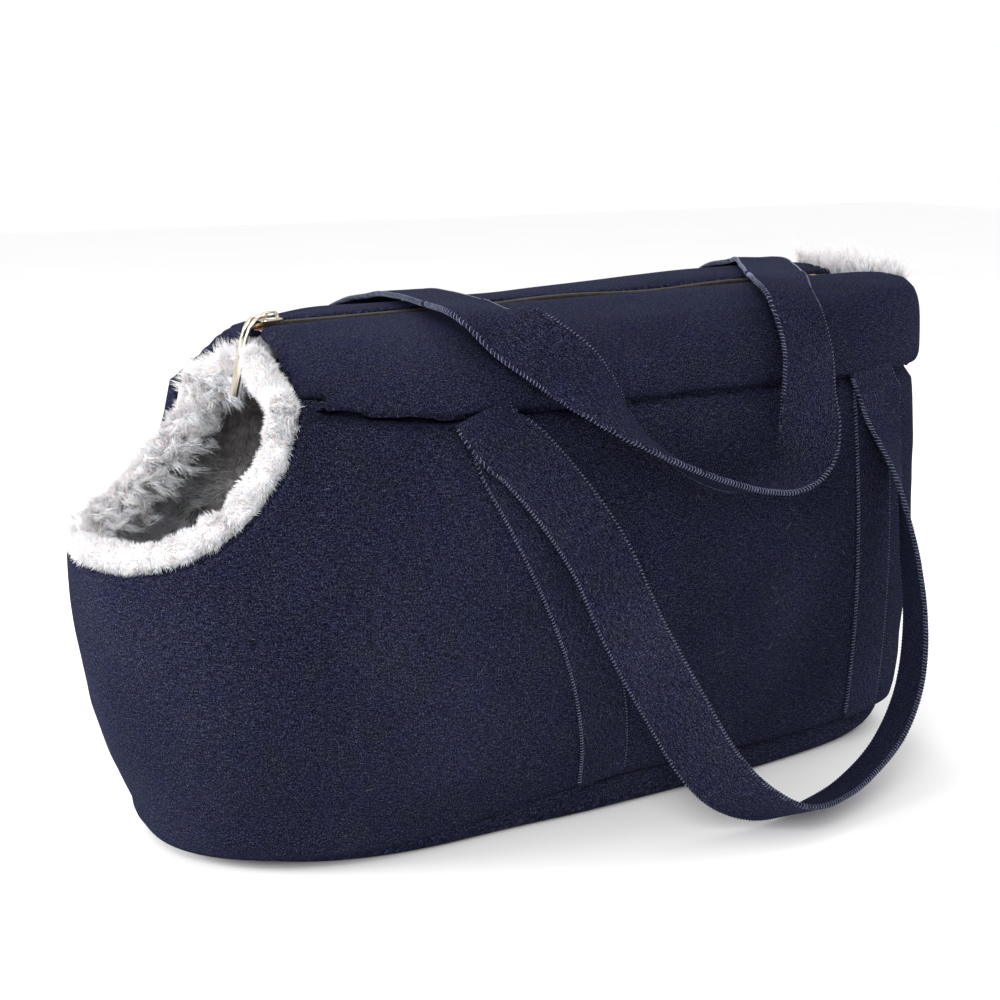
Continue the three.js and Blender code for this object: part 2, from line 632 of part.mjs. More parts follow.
// slope of the hinge line in plan, which the strap ends follow
const SKEW = (FRONT_Y - REAR_Y) / (HANDLE_X.rear - HANDLE_X.front);
const NEAR_HANDLE = [
  { at: [HANDLE_X.front - 5, -FRONT_Y, HINGE_Z + 12], face: [SKEW, -1, 0] },
  { at: [HANDLE_X.front, -FRONT_Y, HINGE_Z], face: [SKEW, -1, 0] },
  { at: [-56, -101, 190], face: [-0.05, -1, 0.1] },
  { at: [-36, -106, 166], face: [-0.15, -1, 0.1] },
  { at: [-21, -112, 141], face: [-0.25, -1, 0] },
  { at: [-8, -119, 108], face: [-0.35, -1, 0] },
  { at: [10, -127, 71], face: [-0.5, -1, -0.1] },
  { at: [28, -135, 38], face: [-0.55, -1, -0.3] },
  { at: [44, -139, 22], face: [-0.45, -0.8, -0.6] },
  { at: [68, -142, 11], face: [-0.2, -0.5, -0.85] },
  { at: [96, -137, 10], face: [0.2, -0.4, -0.95] },
  { at: [120, -132, 15], face: [0.5, -0.4, -0.8] },
  { at: [144, -127, 28], face: [0.75, -0.4, -0.6] },
  { at: [162, -121, 50], face: [0.95, -0.4, -0.3] },
  { at: [171, -114, 80], face: [1, -0.4, 0] },
  { at: [173, -106, 112], face: [1, -0.5, 0] },
  { at: [172, -96, 150], face: [0.8, -0.8, 0] },
  { at: [169, -REAR_Y - 2, 182], face: [0.3, -1, 0] },
  { at: [HANDLE_X.rear, -REAR_Y, HINGE_Z], face: [SKEW, -1, 0] },
  { at: [HANDLE_X.rear - 1, -REAR_Y, HINGE_Z + 12], face: [SKEW, -1, 0] },
];
const nearStrap = strap(NEAR_HANDLE, STRAP_T, STRAP_W, 44);
add('handle_near', keepBetween(nearStrap, 0, HINGE_Z + 1), fabric(STRAP_DENIM));

// The far handle lies over the top and hangs down the near side. Its webbing bends at the
// near ridge, so the two spans over the top and the hanging loop are separate solids.
const TOP = { front: 249.4, rear: 253.9 };
const BEND_Y = -46;
const FAR_FRONT_SPAN = [
  { at: [HANDLE_X.front - 3, FRONT_Y, HINGE_Z - 12], face: [SKEW, 1, 0] },
  { at: [HANDLE_X.front, FRONT_Y, HINGE_Z], face: [SKEW, 1, 0] },
  { at: [-58, 98.5, 220], face: [0, 1, 0.25] },
  { at: [-46, 83, 240], face: [0, 0.7, 0.7] },
  { at: [-38, 58, TOP.front - 0.6], face: [0, 0, 1] },
  { at: [-46, 8, TOP.front], face: [0, 0, 1] },
  { at: [-55, BEND_Y + 0.4, TOP.front], face: [0, 0, 1] },
];
const FAR_REAR_SPAN = [
  { at: [HANDLE_X.rear - 3, REAR_Y, HINGE_Z - 12], face: [SKEW, 1, 0] },
  { at: [HANDLE_X.rear, REAR_Y, HINGE_Z], face: [SKEW, 1, 0] },
  { at: [174, 85, 223], face: [0.1, 1, 0.2] },
  { at: [184, 72, 246.5], face: [0, 0.7, 0.7] },
  { at: [184, 42, TOP.rear], face: [0, 0, 1] },
  { at: [160, 0, TOP.rear], face: [0, 0, 1] },
  { at: [129, BEND_Y + 0.4, TOP.rear], face: [0, 0, 1] },
];
const FAR_LOOP = [
  { at: [-55.2, BEND_Y - 0.2, TOP.front], face: [0, 0, 1] },
  { at: [-59, -74, 248], face: [0, -0.4, 0.9] },
  { at: [-51, -94, 240], face: [-0.1, -1, 0.2] },
  { at: [-35, -104, 227], face: [-0.35, -0.9, -0.3] },
  { at: [-19, -109, 212], face: [-0.45, -0.7, -0.55] },
  { at: [0, -111, 195], face: [-0.45, -0.5, -0.75] },
  { at: [22, -111, 180], face: [-0.35, -0.35, -0.87] },
  { at: [46, -111, 169], face: [-0.2, -0.3, -0.93] },
  { at: [70, -110, 163], face: [0, -0.35, -0.95] },
  { at: [92, -107, 166], face: [0.3, -0.7, -0.7] },
  { at: [105, -102, 176], face: [0.2, -1, -0.25] },
  { at: [111, -99.5, 197], face: [0.05, -1, 0] },
  { at: [111, -96.5, 224], face: [0, -1, 0.1] },
  { at: [107, -88, 244], face: [0, -0.8, 0.6] },
  { at: [114, -68, 252], face: [0, -0.3, 0.95] },
  { at: [128.6, BEND_Y - 0.2, TOP.rear], face: [0, 0, 1] },
];
const spanSolid = (stations) => keepBetween(
  strap(stations, STRAP_T, STRAP_W, 20),
  HINGE_Z - 1,
  2 * FOLD_Z,
);
add('handle_far_front', spanSolid(FAR_FRONT_SPAN), fabric(STRAP_DENIM));
add('handle_far_rear', spanSolid(FAR_REAR_SPAN), fabric(STRAP_DENIM));
add('handle_far_loop', strap(FAR_LOOP, STRAP_T, STRAP_W, 44), fabric(STRAP_DENIM));

export default carrier;
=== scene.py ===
import math

import bmesh
import bpy
import numpy as np
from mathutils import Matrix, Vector, noise


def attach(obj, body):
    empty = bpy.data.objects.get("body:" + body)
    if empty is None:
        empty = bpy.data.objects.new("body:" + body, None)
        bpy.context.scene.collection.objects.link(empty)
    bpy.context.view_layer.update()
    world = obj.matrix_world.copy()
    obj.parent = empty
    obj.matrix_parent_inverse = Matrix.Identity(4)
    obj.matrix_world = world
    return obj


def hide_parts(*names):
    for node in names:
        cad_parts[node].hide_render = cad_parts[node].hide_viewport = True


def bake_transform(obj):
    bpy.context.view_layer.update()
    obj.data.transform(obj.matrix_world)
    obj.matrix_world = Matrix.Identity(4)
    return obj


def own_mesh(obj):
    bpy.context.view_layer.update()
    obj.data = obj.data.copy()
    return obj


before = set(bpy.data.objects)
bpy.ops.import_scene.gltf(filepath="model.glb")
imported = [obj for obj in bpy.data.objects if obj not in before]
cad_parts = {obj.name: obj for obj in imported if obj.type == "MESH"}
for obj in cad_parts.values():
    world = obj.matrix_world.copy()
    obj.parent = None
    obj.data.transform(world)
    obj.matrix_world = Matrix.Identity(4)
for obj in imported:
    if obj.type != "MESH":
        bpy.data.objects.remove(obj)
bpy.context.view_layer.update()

MM = 0.001

# ---------------------------------------------------------------- dimensions in mm
LIP_X, REAR_X, WIDEST_X = -225.0, 225.0, -70.0
HALF_WIDTH = 98.0
SEAM_Z, WIDEST_Z, LIP_Z, FOLD_Z = 19.5, 110.0, 140.0, 205.0
FOLD_RISE, FOLD_DROP = 10.0, 3.0
COLLAR_FRONT_X, ZIP_FRONT_X, COLLAR_REAR_X = -150.0, -138.0, 221.0
PADDING_REAR_X = COLLAR_REAR_X - 11.5
ZIP_EDGE_Z, ZIP_SLOT, OVERHANG = 242.5, 7.0, 4.0
ZIP_SLOPE, SLIDER_X, DIP_WIDTH = 0.0185, -134.0, 26.0
SECTION_POWER = {"front": 1.1, "middle": 2.6, "rear": 5.6}
CROWN = {"front": 243.0, "middle": 244.5, "rear": 251.0}
CLIMB_START, CLIMB_LENGTH = -20.0, 240.0
HEM_DEPTH, HEM_RISE = 4.4, 11.0      # the rounded edges of the denim on both sides of the fold
STRAP_W, STRAP_T = 30.0, 2.4
LEG_W, LEG_T = 27.0, 1.6
FRONT_POWER, REAR_POWER, TAPER, RIM_POWER = 2.25, 5.0, 0.1, 1.8
GAP = 0.4
SIDES = {"near": -1, "far": 1}


def smooth(t):
    c = min(max(t, 0.0), 1.0)
    return c * c * (3 - 2 * c)


def signed_power(value, power):
    return math.copysign(abs(value) ** power, value)


def unit(v):
    return v / np.linalg.norm(v)


def unit_rows(rows):
    return rows / np.linalg.norm(rows, axis=1, keepdims=True)


def run_lengths(points):
    """Distance along a chain of points."""
    return np.concatenate([[0], np.cumsum(np.linalg.norm(np.diff(points, axis=0), axis=1))])


def at_marks(marks, length, rows):
    """Rows of a finely divided curve at the given distances along it."""
    return np.stack([np.interp(marks, length, rows[:, k]) for k in range(3)], axis=1)


# ---------------------------------------------------------------- shape of the wall
def tuck_at(x):
    """Share of the half width by which the wall tucks in at its lower seam."""
    return 0.17 - 0.09 * smooth(x / 130)


def width_at(x, z):
    if z < WIDEST_Z:
        return 1 - tuck_at(x) * ((WIDEST_Z - z) / (WIDEST_Z - SEAM_Z)) ** 2
    return 1 - 0.07 * ((z - WIDEST_Z) / (FOLD_Z - WIDEST_Z)) ** 2


def front_at(z):
    return 1 - 0.15 * (max(LIP_Z - z, 0) / (LIP_Z - SEAM_Z)) ** 2.26


def rear_at(z):
    return 1 - 0.008 * (max(WIDEST_Z - z, 0) / (WIDEST_Z - SEAM_Z)) ** 2


def taper_at(x):
    return 1 - TAPER * smooth((x + 20) / 180)


def quarter(ahead, front, rear):
    """Power and length of the plan's quarter ahead of or behind the widest place."""
    if ahead:
        return FRONT_POWER, (WIDEST_X - LIP_X) * front
    return REAR_POWER, (REAR_X - WIDEST_X) * rear


def plan_point(angle, width, front, rear):
    c, s = math.cos(angle), math.sin(angle)
    power, reach = quarter(c > 0, front, rear)
    x = WIDEST_X - signed_power(c, 2 / power) * reach
    return x, -signed_power(s, 2 / power) * HALF_WIDTH * width(x) * taper_at(x)


def wall_plan(angle, z):
    return plan_point(angle, lambda x: width_at(x, z), front_at(z), rear_at(z))


def half_width(x, z):
    power, reach = quarter(x < WIDEST_X, front_at(z), rear_at(z))
    u = min(abs(x - WIDEST_X) / reach, 1)
    return HALF_WIDTH * width_at(x, z) * (1 - u ** power) ** (1 / power) * taper_at(x)


def fold_height(x):
    rise = FOLD_RISE * (max(-80 - x, 0) / (-80 - COLLAR_FRONT_X)) ** 1.5
    return FOLD_Z + rise - FOLD_DROP * smooth(x / REAR_X)


def even_angles(count):
    """Angles that space points evenly along the plan at the widest height."""
    fine = 4000
    pts = np.array([wall_plan(i / fine * math.pi, WIDEST_Z) for i in range(fine + 1)])
    length = run_lengths(pts)
    half = np.interp(np.linspace(0, length[-1], count // 2 + 1), length, np.linspace(0, math.pi, fine + 1))
    return list(half) + list(2 * math.pi - half[1:-1][::-1])


def inset_plan(plan, angle, depth):
    """A point of a plan outline, moved inwards by the depth."""
    step = 1e-3
    ax, ay = plan(angle - step)
    bx, by = plan(angle + step)
    px, py = plan(angle)
    tx, ty = bx - ax, by - ay
    size = math.hypot(tx, ty)
    nx, ny = ty / size, -tx / size
    if nx * (WIDEST_X - px) - ny * py < 0:
        nx, ny = -nx, -ny
    return px + nx * depth, py + ny * depth


def rim_height(x):
    """Top of the wall: the fold, and ahead of it the curved rim of the mouth."""
    if x > COLLAR_FRONT_X - 0.01:
        return fold_height(x) - GAP
    u = min(max((x - LIP_X) / (COLLAR_FRONT_X - LIP_X), 0), 1)
    climb = FOLD_Z + FOLD_RISE - GAP - LIP_Z
    return LIP_Z + climb * (1 - (1 - u ** RIM_POWER) ** (1 / RIM_POWER))


# ---------------------------------------------------------------- shape of the collar
def rounded(share):
    """A quarter round: 1 at the edge, 0 from a share of 1 inwards."""
    left = 1 - min(max(share, 0.0), 1.0)
    return 1 - math.sqrt(1 - left * left)


def stepped(values, to_middle, to_rear):
    """From the front value to the middle one and on to the rear one."""
    front, middle, rear = values["front"], values["middle"], values["rear"]
    return front + (middle - front) * smooth(to_middle) + (rear - middle) * smooth(to_rear)


def section_power(x):
    return stepped(SECTION_POWER, (x - COLLAR_FRONT_X) / 90, x / REAR_X)


def zip_climb(x):
    return ZIP_SLOPE * (x - SLIDER_X)


def crown_height(x):
    return stepped(CROWN, (x - COLLAR_FRONT_X) / 150, (x - CLIMB_START) / CLIMB_LENGTH)


def collar_section(x, t):
    """Distance out and height on the collar's face, t from the zip at 0 to the fold at 1."""
    fold = fold_height(x)
    half = half_width(x, fold) + OVERHANG
    power = section_power(x)
    height = crown_height(x) - fold
    top = math.asin((ZIP_SLOT / half) ** (power / 2))
    angle = top + (math.pi / 2 - top) * t
    out = half * math.sin(angle) ** (2 / power)
    up = fold + 0.1 + height * max(math.cos(angle), 0) ** (2 / power)
    dip = fold + height * math.cos(top) ** (2 / power) - ZIP_EDGE_Z - zip_climb(x)
    return np.array([out, up - dip * math.exp(-((out / DIP_WIDTH) ** 2))])


def collar_inset(x, t, depth):
    """The same point moved below the collar's face by the depth."""
    p = collar_section(x, t)
    along = unit(collar_section(x, min(t + 0.02, 1)) - collar_section(x, max(t - 0.02, 0)))
    normal = np.array([along[1], -along[0]])
    at_zip, at_fold = smooth(1 - t / 0.12), smooth((t - 0.82) / 0.18)
    normal = normal * (1 - at_zip) + np.array([0, -1]) * at_zip
    normal = unit(normal * (1 - at_fold) + np.array([-1, 0]) * at_fold)
    floor = fold_height(x) + 0.1
    lowest = floor + 0.35 * (p[1] - floor)
    q = p + normal * depth
    q[1] = max(q[1], lowest)
    return q


def collar_front(t):
    return ZIP_FRONT_X + (COLLAR_FRONT_X - ZIP_FRONT_X) * t


# ---------------------------------------------------------------- curves
def catmull(points, t):
    """Centripetal Catmull-Rom curve through the points, t from 0 to 1."""
    pts = [np.array(p, float) for p in points]
    last = len(pts) - 1
    p = last * t
    k = min(int(p), last - 1)
    w = p - k
    p1, p2 = pts[k], pts[k + 1]
    p0 = pts[k - 1] if k > 0 else 2 * pts[0] - pts[1]
    p3 = pts[k + 2] if k + 2 <= last else 2 * pts[last] - pts[last - 1]
    d0, d1, d2 = (float(np.sum((a - b) ** 2)) ** 0.25 for a, b in ((p0, p1), (p1, p2), (p2, p3)))
    d1 = d1 if d1 > 1e-4 else 1.0
    d0 = d0 if d0 > 1e-4 else d1
    d2 = d2 if d2 > 1e-4 else d1
    t1 = ((p1 - p0) / d0 - (p2 - p0) / (d0 + d1) + (p2 - p1) / d1) * d1
    t2 = ((p2 - p1) / d1 - (p3 - p1) / (d1 + d2) + (p3 - p2) / d2) * d1
    c2 = -3 * p1 + 3 * p2 - 2 * t1 - t2
    c3 = 2 * p1 - 2 * p2 + t1 + t2
    return p1 + t1 * w + c2 * w * w + c3 * w ** 3


def wobble(x, y, z, scale, seed=0.0):
    """Smooth noise about -1..1 with features of the given size in mm."""
    return noise.noise(Vector((x / scale + seed, y / scale - seed, z / scale + 2 * seed)))


# ---------------------------------------------------------------- mesh building
PUFF_FRAMES = 20


def new_object(name, verts, faces, material, weave=None):
    """A smooth mesh object from points in mm, its faces turned outwards."""
    mesh = bpy.data.meshes.new(name)
    mesh.from_pydata((np.asarray(verts, float) * MM).tolist(), [], faces)
    mesh.update()
    if weave is not None:
        set_weave(mesh, weave)
    smooth_faces(mesh)
    mesh.materials.append(material)
    bm = bmesh.new()
    bm.from_mesh(mesh)
    bmesh.ops.recalc_face_normals(bm, faces=bm.faces)
    bm.to_mesh(mesh)
    bm.free()
    return link_object(name, mesh)


def link_object(name, mesh):
    obj = bpy.data.objects.new(name, mesh)
    bpy.context.scene.collection.objects.link(obj)
    return obj


def smooth_faces(mesh):
    mesh.polygons.foreach_set("use_smooth", [True] * len(mesh.polygons))


def set_weave(mesh, coords):
    attribute = mesh.attributes.get("weave") or mesh.attributes.new("weave", "FLOAT_VECTOR", "POINT")
    attribute.data.foreach_set("vector", np.asarray(coords, np.float32).ravel())


def set_tone(mesh, values):
    attribute = mesh.attributes.get("tone") or mesh.attributes.new("tone", "FLOAT", "POINT")
    attribute.data.foreach_set("value", np.asarray(values, np.float32))


def ring_faces(rows, cols, closed=False):
    """Quads between rings of points, closed on themselves or open at both ends."""
    faces = []
    for r in range(rows if closed else rows - 1):
        for c in range(cols):
            a = r * cols + c
            b = r * cols + (c + 1) % cols
            n = ((r + 1) % rows) * cols
            faces.append((a, b, n + (c + 1) % cols, n + c))
    return faces


def tube_faces(rows, cols):
    """Quads between rings of points, with a face over each end."""
    last = (rows - 1) * cols
    return ring_faces(rows, cols) + [tuple(range(cols)), tuple(range(last, last + cols))[::-1]]


def apply_modifiers(obj):
    bpy.context.view_layer.update()
    graph = bpy.context.evaluated_depsgraph_get()
    mesh = bpy.data.meshes.new_from_object(obj.evaluated_get(graph))
    obj.modifiers.clear()
    obj.data = mesh


def puff(obj, voxel, pressure, cap, mask):
    """Swell a closed cloth form, then cap how far each point moved."""
    remesh = obj.modifiers.new("remesh", "REMESH")
    remesh.mode = "VOXEL"
    remesh.voxel_size = voxel * MM
    apply_modifiers(obj)
    rest = np.array([v.co for v in obj.data.vertices])
    cloth = obj.modifiers.new("cloth", "CLOTH")
    settings = cloth.settings
    settings.quality = 4
    settings.mass = 0.3
    settings.tension_stiffness = settings.compression_stiffness = 12
    settings.shear_stiffness = 6
    settings.bending_stiffness = 0.4
    settings.use_pressure = True
    settings.uniform_pressure_force = pressure
    settings.effector_weights.gravity = 0
    cloth.point_cache.frame_start = 1
    cloth.point_cache.frame_end = PUFF_FRAMES
    scene = bpy.context.scene
    for step in range(1, PUFF_FRAMES + 1):
        scene.frame_set(step)
    graph = bpy.context.evaluated_depsgraph_get()
    moved = np.array([v.co for v in obj.evaluated_get(graph).data.vertices])
    obj.modifiers.clear()
    scene.frame_set(1)
    shift = moved - rest
    size = np.linalg.norm(shift, axis=1, keepdims=True)
    shift *= np.minimum(1, cap * MM / np.maximum(size, 1e-9))
    weight = np.array([mask(*(p / MM)) for p in rest])[:, None]
    obj.data.vertices.foreach_set("co", (rest + shift * weight).ravel())
    obj.data.update()
    smooth_faces(obj.data)
    finer = obj.modifiers.new("smooth", "SUBSURF")
    finer.levels = finer.render_levels = 1
    apply_modifiers(obj)


# ---------------------------------------------------------------- materials
class Shader:
    """Wires up one material."""

    def __init__(self, name):
        self.material = bpy.data.materials.new(name)
        self.material.use_nodes = True
        self.nodes = self.material.node_tree.nodes
        self.links = self.material.node_tree.links
        self.bsdf = self.nodes["Principled BSDF"]

    def set(self, **values):
        for key, value in values.items():
            self.bsdf.inputs[key.replace("_", " ")].default_value = value

    def feed(self, socket, value):
        """Link another socket to this one, or set its value."""
        if isinstance(value, bpy.types.NodeSocket):
            self.links.new(value, socket)
        else:
            socket.default_value = (*value, 1) if isinstance(value, tuple) else value

    def node(self, kind, **inputs):
        node = self.nodes.new(kind)
        for key, value in inputs.items():
            self.feed(node.inputs[key.replace("_", " ")], value)
        return node

    def link(self, socket, name):
        self.links.new(socket, self.bsdf.inputs[name])

    def coords(self, scale, attribute=None):
        if attribute:
            source = self.nodes.new("ShaderNodeAttribute")
            source.attribute_name = attribute
            vector = source.outputs["Vector"]
        else:
            vector = self.nodes.new("ShaderNodeTexCoord").outputs["Object"]
        mapping = self.node("ShaderNodeMapping", Vector=vector)
        mapping.inputs["Scale"].default_value = scale
        return mapping.outputs["Vector"]

    def noise(self, scale, detail=2.0, rough=0.5, attribute=None):
        """Noise with this many features per metre, the same every way or one number for each axis."""
        vector = self.coords(scale if isinstance(scale, tuple) else (scale, scale, scale), attribute)
        node = self.node("ShaderNodeTexNoise", Vector=vector, Scale=1.0, Detail=detail, Roughness=rough)
        return node.outputs["Fac"]

    def math(self, operation, *values):
        node = self.nodes.new("ShaderNodeMath")
        node.operation = operation
        for socket, value in zip(node.inputs, values):
            self.feed(socket, value)
        return node.outputs[0]

    def total(self, *terms, start=0.0):
        """Weighted sum of (socket, weight) terms."""
        for socket, weight in terms:
            start = self.math("MULTIPLY_ADD", socket, weight, start)
        return start

    def ramp(self, fac, stops):
        node = self.node("ShaderNodeValToRGB", Fac=fac)
        elements = node.color_ramp.elements
        while len(elements) < len(stops):
            elements.new(0.5)
        for element, (place, color) in zip(elements, stops):
            element.position = place
            element.color = (*color, 1)
        return node.outputs["Color"]

    def mix(self, fac, a, b, blend="MIX"):
        node = self.nodes.new("ShaderNodeMix")
        node.data_type = "RGBA"
        node.blend_type = blend
        for key, value in (("Factor", fac), (6, a), (7, b)):
            self.feed(node.inputs[key], value)
        return node.outputs[2]

    def bump(self, height, distance, strength=1.0):
        node = self.node("ShaderNodeBump", Height=height, Strength=strength, Distance=distance)
        self.link(node.outputs["Normal"], "Normal")


# from the shaded gaps between the threads to their tops, in the bluer and the greyer patches
DENIM_BLUE = [(0.001, 0.0012, 0.0038), (0.0059, 0.0067, 0.0211), (0.014, 0.016, 0.047),
              (0.0732, 0.0812, 0.1485)]
DENIM_GREY = [(0.0015, 0.0014, 0.0021), (0.0085, 0.009, 0.0146), (0.0195, 0.0203, 0.0301),
              (0.0878, 0.0905, 0.1109)]


def denim_material(name, ramp_shift=0.0, fleck=1.0):
    """Indigo denim: pale cross threads, dark warp, uneven slubs along the first weave coordinate."""
    s = Shader(name)
    weave = s.node("ShaderNodeSeparateXYZ", Vector=s.coords((1, 1, 1), "weave")).outputs
    diagonal = s.total((weave["X"], 5200.0), (weave["Y"], 6400.0))
    twill = s.math("MULTIPLY_ADD", s.math("SINE", diagonal), 0.5, 0.5)
    slub = s.noise((260, 1700, 1), attribute="weave")
    warp = s.noise((1900, 420, 1), attribute="weave")
    grain = s.noise((1250, 1250, 1), rough=0.6, attribute="weave")
    cloud = s.noise(16, detail=4.0)
    height = s.total((twill, 0.12), (slub, 0.5), (warp, 0.38))
    tone = s.total((height, 0.75), (grain, 0.68), (cloud, 0.15), start=ramp_shift - 0.297)
    places = (0.36, 0.5, 0.6, 0.78)
    blue = s.ramp(tone, list(zip(places, DENIM_BLUE)))
    grey = s.ramp(tone, list(zip(places, DENIM_GREY)))
    hue = s.noise(70, detail=6.0, rough=0.75)
    color = s.mix(s.ramp(hue, [(0.3, (0.2, 0.2, 0.2)), (0.7, (0.9, 0.9, 0.9))]), blue, grey)
    spots = s.noise((1500, 2100, 1), detail=1.0, attribute="weave")
    bright = s.ramp(spots, [(0.62, (0, 0, 0)), (0.76, (fleck, fleck, fleck))])
    color = s.mix(bright, color, (0.075, 0.088, 0.15))
    s.link(color, "Base Color")
    s.set(Roughness=1.0, Sheen_Weight=0.02, Sheen_Roughness=0.6, Specular_IOR_Level=0.015)
    s.bsdf.inputs["Sheen Tint"].default_value = (0.35, 0.42, 1.0, 1)
    s.bump(s.total((height, 1.0), (grain, 0.5)), 0.0005, 0.7)
    return s.material


def plush_material(name):
    """Short grey plush, embossed with small dots, with brushed lighter patches."""
    s = Shader(name)
    base = s.coords((1, 1, 1))
    dots = s.node("ShaderNodeTexVoronoi", Vector=base, Scale=150.0, Randomness=0.35).outputs["Distance"]
    brushed = s.noise((34, 34, 50), detail=5.0, rough=0.62)
    pile = s.noise((700, 700, 420), detail=3.0, rough=0.7)
    tone = s.total((brushed, 0.75), (pile, 0.35), (dots, -0.22))
    color = s.ramp(tone, [
        (0.24, (0.1, 0.093, 0.094)),
        (0.38, (0.24, 0.226, 0.228)),
        (0.52, (0.42, 0.4, 0.402)),
        (0.7, (0.7, 0.675, 0.68)),
    ])
    s.link(color, "Base Color")
    s.set(Roughness=0.95, Sheen_Weight=0.5, Sheen_Roughness=0.5)
    s.bump(s.total((pile, 0.6), (dots, -1.1)), 0.0016, 0.8)
    return s.material


def fur_material(name, white):
    """White pile: the tone attribute runs from shaded roots to clean tips, and at 1 to pinkish brown tips
    that paint the shade under the near roll.
    """
    s = Shader(name)
    source = s.nodes.new("ShaderNodeAttribute")
    source.attribute_name = "tone"
    patch = s.noise(45, detail=4.0)
    color = s.ramp(source.outputs["Fac"], [
        (0.0, tuple(c * 0.34 for c in white)),
        (0.3, tuple(c * 0.86 for c in white)),
        (0.75, white),
        (1.0, (0.34, 0.25, 0.22)),
    ])
    shade = s.ramp(patch, [(0.3, (0.86, 0.85, 0.87)), (0.6, (1, 1, 1))])
    s.link(s.mix(1.0, color, shade, "MULTIPLY"), "Base Color")
    s.set(Roughness=0.8, Sheen_Weight=0.4, Subsurface_Weight=0.3, Subsurface_Scale=0.004)
    s.bump(s.noise(1500), 0.0003, 0.4)
    return s.material


def metal_material(name, color, dark, rough):
    s = Shader(name)
    scuff = s.noise(500, detail=5.0, rough=0.65)
    wide = s.noise(120, detail=3.0)
    s.link(s.ramp(wide, [(0.3, dark), (0.62, color)]), "Base Color")
    s.link(s.total((scuff, 0.22), start=rough), "Roughness")
    s.set(Metallic=1.0)
    s.bump(scuff, 0.00008, 0.5)
    return s.material


def woven_material(name, color, light, scale=(2400, 900, 2400), rough=0.85):
    """Small plain weave for tape, board and thread."""
    s = Shader(name)
    weave = s.noise(scale)
    cloud = s.noise(60, detail=3.0)
    tone = s.total((weave, 0.7), (cloud, 0.3))
    s.link(s.ramp(tone, [(0.32, color), (0.68, light)]), "Base Color")
    s.set(Roughness=rough)
    s.bump(weave, 0.0002, 0.6)
    return s.material


def coil_material(name):
    s = Shader(name)
    wear = s.noise(260, detail=4.0)
    s.link(s.ramp(wear, [(0.35, (0.01, 0.007, 0.006)), (0.7, (0.032, 0.023, 0.019))]), "Base Color")
    s.set(Roughness=0.6, Specular_IOR_Level=0.2)
    s.bump(s.noise(2200), 0.00006, 0.4)
    return s.material


DENIM = denim_material("denim_body")
STRAP = denim_material("denim_webbing", ramp_shift=0.02, fleck=0.8)
PLUSH = plush_material("plush_grey")
PALE_PLUSH = woven_material("plush_pale", (0.6, 0.57, 0.56), (0.84, 0.82, 0.81), (420, 420, 420), 0.95)
FUR = fur_material("fur_white", (0.84, 0.805, 0.812))
BOARD = woven_material("stiffener", (0.02, 0.018, 0.016), (0.06, 0.055, 0.05), (900, 900, 900), 0.6)
TAPE = woven_material("zip_tape_cloth", (0.045, 0.014, 0.01), (0.13, 0.045, 0.032))
THREAD = woven_material("edge_thread", (0.06, 0.072, 0.12), (0.2, 0.22, 0.3), (900, 900, 900))
LINT = woven_material("lint", (0.12, 0.13, 0.17), (0.4, 0.4, 0.43), (800, 800, 800))
COIL = coil_material("zip_coil_nylon")
BRASS = metal_material("zip_stop_brass", (0.33, 0.2, 0.09), (0.14, 0.08, 0.04), 0.32)
NICKEL = metal_material("nickel_plate", (0.72, 0.66, 0.56), (0.5, 0.44, 0.35), 0.2)


# ---------------------------------------------------------------- body wall
LEG_LINES = {"front": (-66.0, 1.0), "rear": (166.0, 172.0)}    # x at the fold and at the lower seam
CORNER_SAG = 9.0
WALL_BACK, LINING_FACE, LINING_BACK = 8.2, 11.4, 8.6    # depths below the drafted surface


def leg_x(line, z):
    top, bottom = LEG_LINES[line]
    t = min(max((FOLD_Z - 9 - z) / (FOLD_Z - 13 - SEAM_Z), 0), 1)
    return top + (bottom - top) * (0.35 * t + 0.65 * math.sin(t * math.pi / 2))


def seam_height(x):
    """The side panel's lower seam dips towards the ground under the nose."""
    return SEAM_Z + GAP - 13.5 * smooth((10 - x) / 150)


def wall_relief(x, y, z):
    """How far the wall's cloth stands in or out of the drafted surface, in mm."""
    wide = 1.1 * wobble(x, y, z, 70, 3.1) + 0.5 * wobble(x, y, z, 27, 7.7)
    creases = 0.5 * wobble(x * 0.4, y * 0.4, z, 15, 1.3)
    low = seam_height(x)
    edge = smooth((z - low) / 14) * smooth((rim_height(x) - z) / 12)
    calm = 1.0
    for line in LEG_LINES:
        away = (x - leg_x(line, z)) / (LEG_W * 0.5 + 6)
        calm = min(calm, 1 - math.exp(-(away ** 4)) * (1 if abs(y) > 40 else 0))
    hem = HEM_DEPTH * rounded((rim_height(x) - z) / HEM_RISE) if x > COLLAR_FRONT_X + 4 else 0.0
    seam = -hem - 1.0 * math.exp(-(((z - low - 0.6) / 2.6) ** 2))
    wrap = 2.0 * smooth((SEAM_Z + 2 - z) / 9)
    return (wide + creases) * edge * (0.25 + 0.75 * calm) + seam + wrap


def arc_lengths(angles, z):
    """Distance along the plan from the front, the same on both sides."""
    pts = np.array([wall_plan(a, z) for a in angles])
    half = len(angles) // 2
    length = run_lengths(pts[: half + 1])
    return np.concatenate([length, length[1:-1][::-1]])


def corner_drop(x, y):
    """How far the far corner of the mouth has sagged."""
    return CORNER_SAG * smooth((x + 190) / 34) * smooth((COLLAR_FRONT_X + 10 - x) / 9) if y > 0 else 0.0


